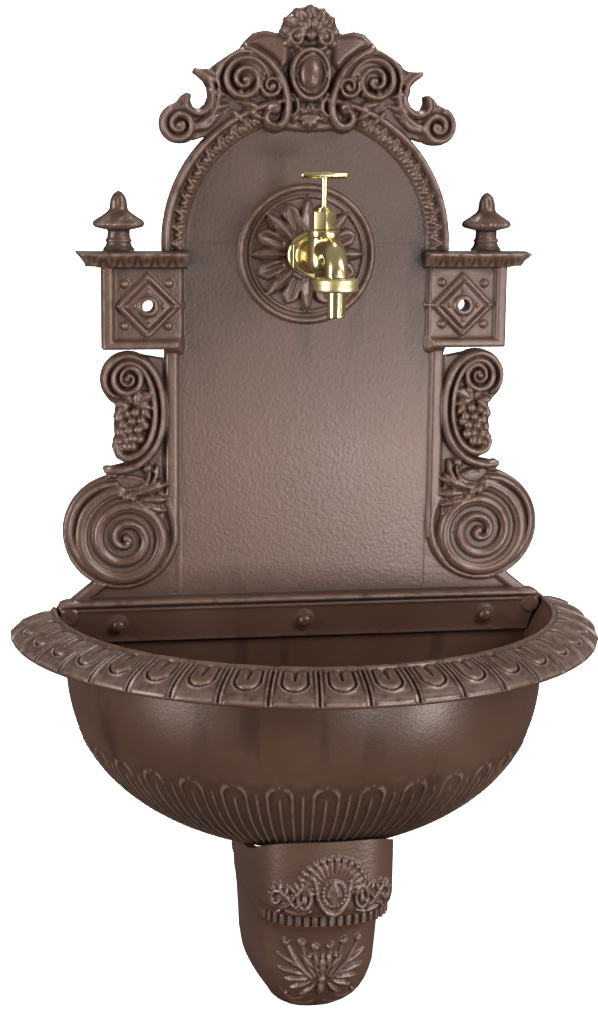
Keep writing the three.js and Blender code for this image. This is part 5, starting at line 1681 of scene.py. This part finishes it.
# %% [markdown]
# The body: a round flange on the rosette, a hexagon for the spanner, a neck, the upright
# barrel with its mouldings, and the spout that swings forward and down.

# %% Tap body
inlet = turned_part("inlet", [(0, 1.0), (9.8, 1.0), (9.8, 19.4), (15.6, 19.4), (16.4, 20.2),
                              (16.4, 22.6), (15.4, 23.6),
                              (13.2, 24.0), (12.6, 24.6), (12.6, 33.0), (12.0, 33.6), (0, 33.6)],
                    (0, 0, AXIS_HEIGHT), OUT_OF_WALL)
collar = hexagon_bar("collar", 16.75, 8.8, (0, -28.5, AXIS_HEIGHT), OUT_OF_WALL, 0.7)
neck = turned_part("neck", [(0, 32), (12.4, 32), (12.0, 34.5), (10.6, 36.2), (9.6, 39.5), (9.4, 46), (9.8, 52),
                            (10.4, 60), (10.4, 72), (0, 72)], (0, 0, AXIS_HEIGHT), OUT_OF_WALL)
barrel = turned_part("barrel", [(0, 54.6), (3.2, 54.8), (5.4, 56.0), (6.2, 57.6), (6.9, 59.2),
                                (9.6, 60.6), (11.1, 63.4),
                                (11.3, 68), (11.3, 76), (10.9, 80.0), (10.6, 82.4), (11.0, 83.8), (11.45, 84.8),
                                (11.45, 87.9), (11.0, 88.6), (10.2, 88.95), (0, 88.95)], (0, -SPINDLE_OUT, 0))
spout = bent_bar("spout", [(0, -70, 72.0), (0, -80, 75.0), (0, -92, 77.4), (0, -106, 77.0), (0, -118, 72.5),
                           (0, -121.9, 65.0), (0, -122, 59.0)], [8.8, 8.6, 8.2, 7.9, 7.8, 7.9, 8.0])
tap_body = joined("brass_tap_body", [barrel, inlet, collar, neck, spout])
finished(tap_body, "tap_body", "fountain", tap_brass)

# %% [markdown]
# Bonnet, handle, nut and tube. The spindle runs free in the bonnet's bore, as it does in the
# CAD model, so the handle can turn.

# %% Bonnet
hexagon = hexagon_bar("hexagon", 8.9, 12.4, (0, -SPINDLE_OUT, 95.6), UPRIGHT, 0.5)
gland = turned_part("gland", [(0, 90), (6.4, 90), (6.4, 102.2), (5.6, 102.8), (5.2, 103.2), (5.2, 103.9),
                              (4.7, 104.4),
                              (0, 104.4)], (0, -SPINDLE_OUT, 0))
bores = [turned_part("bore", [(0, 80), (2.5, 80), (2.5, 110), (0, 110)], (0, -SPINDLE_OUT, 0), steps=32)
         for _ in range(2)]
bonnet = joined("brass_bonnet", [bored(hexagon, bores[0]), bored(gland, bores[1])])
finished(bonnet, "tap_bonnet", "fountain", tap_brass)

# %% Handle
stem = turned_part("stem", [(0, 93.6), (1.8, 93.6), (2.15, 94.0), (2.15, 123.2), (2.35, 124.0), (2.3, 126.4),
                            (0, 126.5)], (0, -SPINDLE_OUT, 0))
bar_end = [(2.55, 14.8), (2.2, 15.7), (1.5, 16.3), (0, 16.4)]
bar = turned_part("bar", [(r, -h) for r, h in bar_end[::-1]] + [(2.58, 0)] + bar_end, (0, 0, 0), steps=32)
bar.data.transform(Matrix.Translation((0, -SPINDLE_OUT / 1000, 0.1265)) @ Matrix.Rotation(math.pi / 2, 4, "Y"))
handle = joined("brass_handle", [stem, bar])
finished(handle, "tap_handle", "tap_handle", tap_brass)

# %% Union nut and outlet tube
nut_profile = [(6.7, 49.65), (13.6, 49.65), (14.4, 50.2), (14.75, 51.0), (14.75, 53.4), (14.45, 53.7),
               (14.45, 54.4),
               (14.75, 54.7), (14.75, 57.2), (14.4, 58.0), (13.6, 58.55), (6.7, 58.55), (6.7, 49.65)]
nut = joined("brass_union_nut", [turned_part("nut", nut_profile, (0, -OUTLET_OUT, 0), steps=64)])
finished(nut, "tap_union_nut", "fountain", nut_brass)
tube_profile = [(4.7, 32.4), (5.0, 32.05), (6.0, 32.05), (6.32, 32.5), (6.32, 34.6), (6.1, 34.8), (6.1, 35.4),
                (6.32, 35.6), (6.32, 57.5), (4.7, 57.5), (4.7, 32.4)]
tube = joined("brass_outlet_tube", [turned_part("tube", tube_profile, (0, -OUTLET_OUT, 0))])
finished(tube, "tap_outlet_tube", "fountain", tap_brass)

# %% [markdown]
# ## The bolts
#
# Three domed bolts, painted with the rest, hold the plate's foot to the basin. One is turned
# and then copied.

# %% Bolts
bolt_low, bolt_high = (np.array(c) * 1000 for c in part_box("basin_bolt_middle"))
head_out = -bolt_low[1]
head_profile = [(2.7, 3.5), (4.9, 3.5), (4.95, 2.9), (4.6, 2.2), (3.9, 1.1), (2.7, 0.35), (1.3, 0.05), (0, 0)]
bolt = turned_part("bolt", [(0, 0.6), (2.7, 0.6)] + [(r, head_out - down) for r, down in head_profile],
                   (0, 0, (bolt_low[2] + bolt_high[2]) / 2 + SCREW_LINE), OUT_OF_WALL, 32)
for side, x in (("left", -BOLT_SIDE), ("middle", 0.0), ("right", BOLT_SIDE)):
    bolt_copy = placed("painted_bolt_" + side, bolt.data.copy())
    bolt_copy.data.transform(Matrix.Translation((x / 1000, 0, 0)))
    bolt_copy.data.name = bolt_copy.name
    finished(bolt_copy, "basin_bolt_" + side, "fountain", bolt_paint)
bpy.data.objects.remove(bolt)
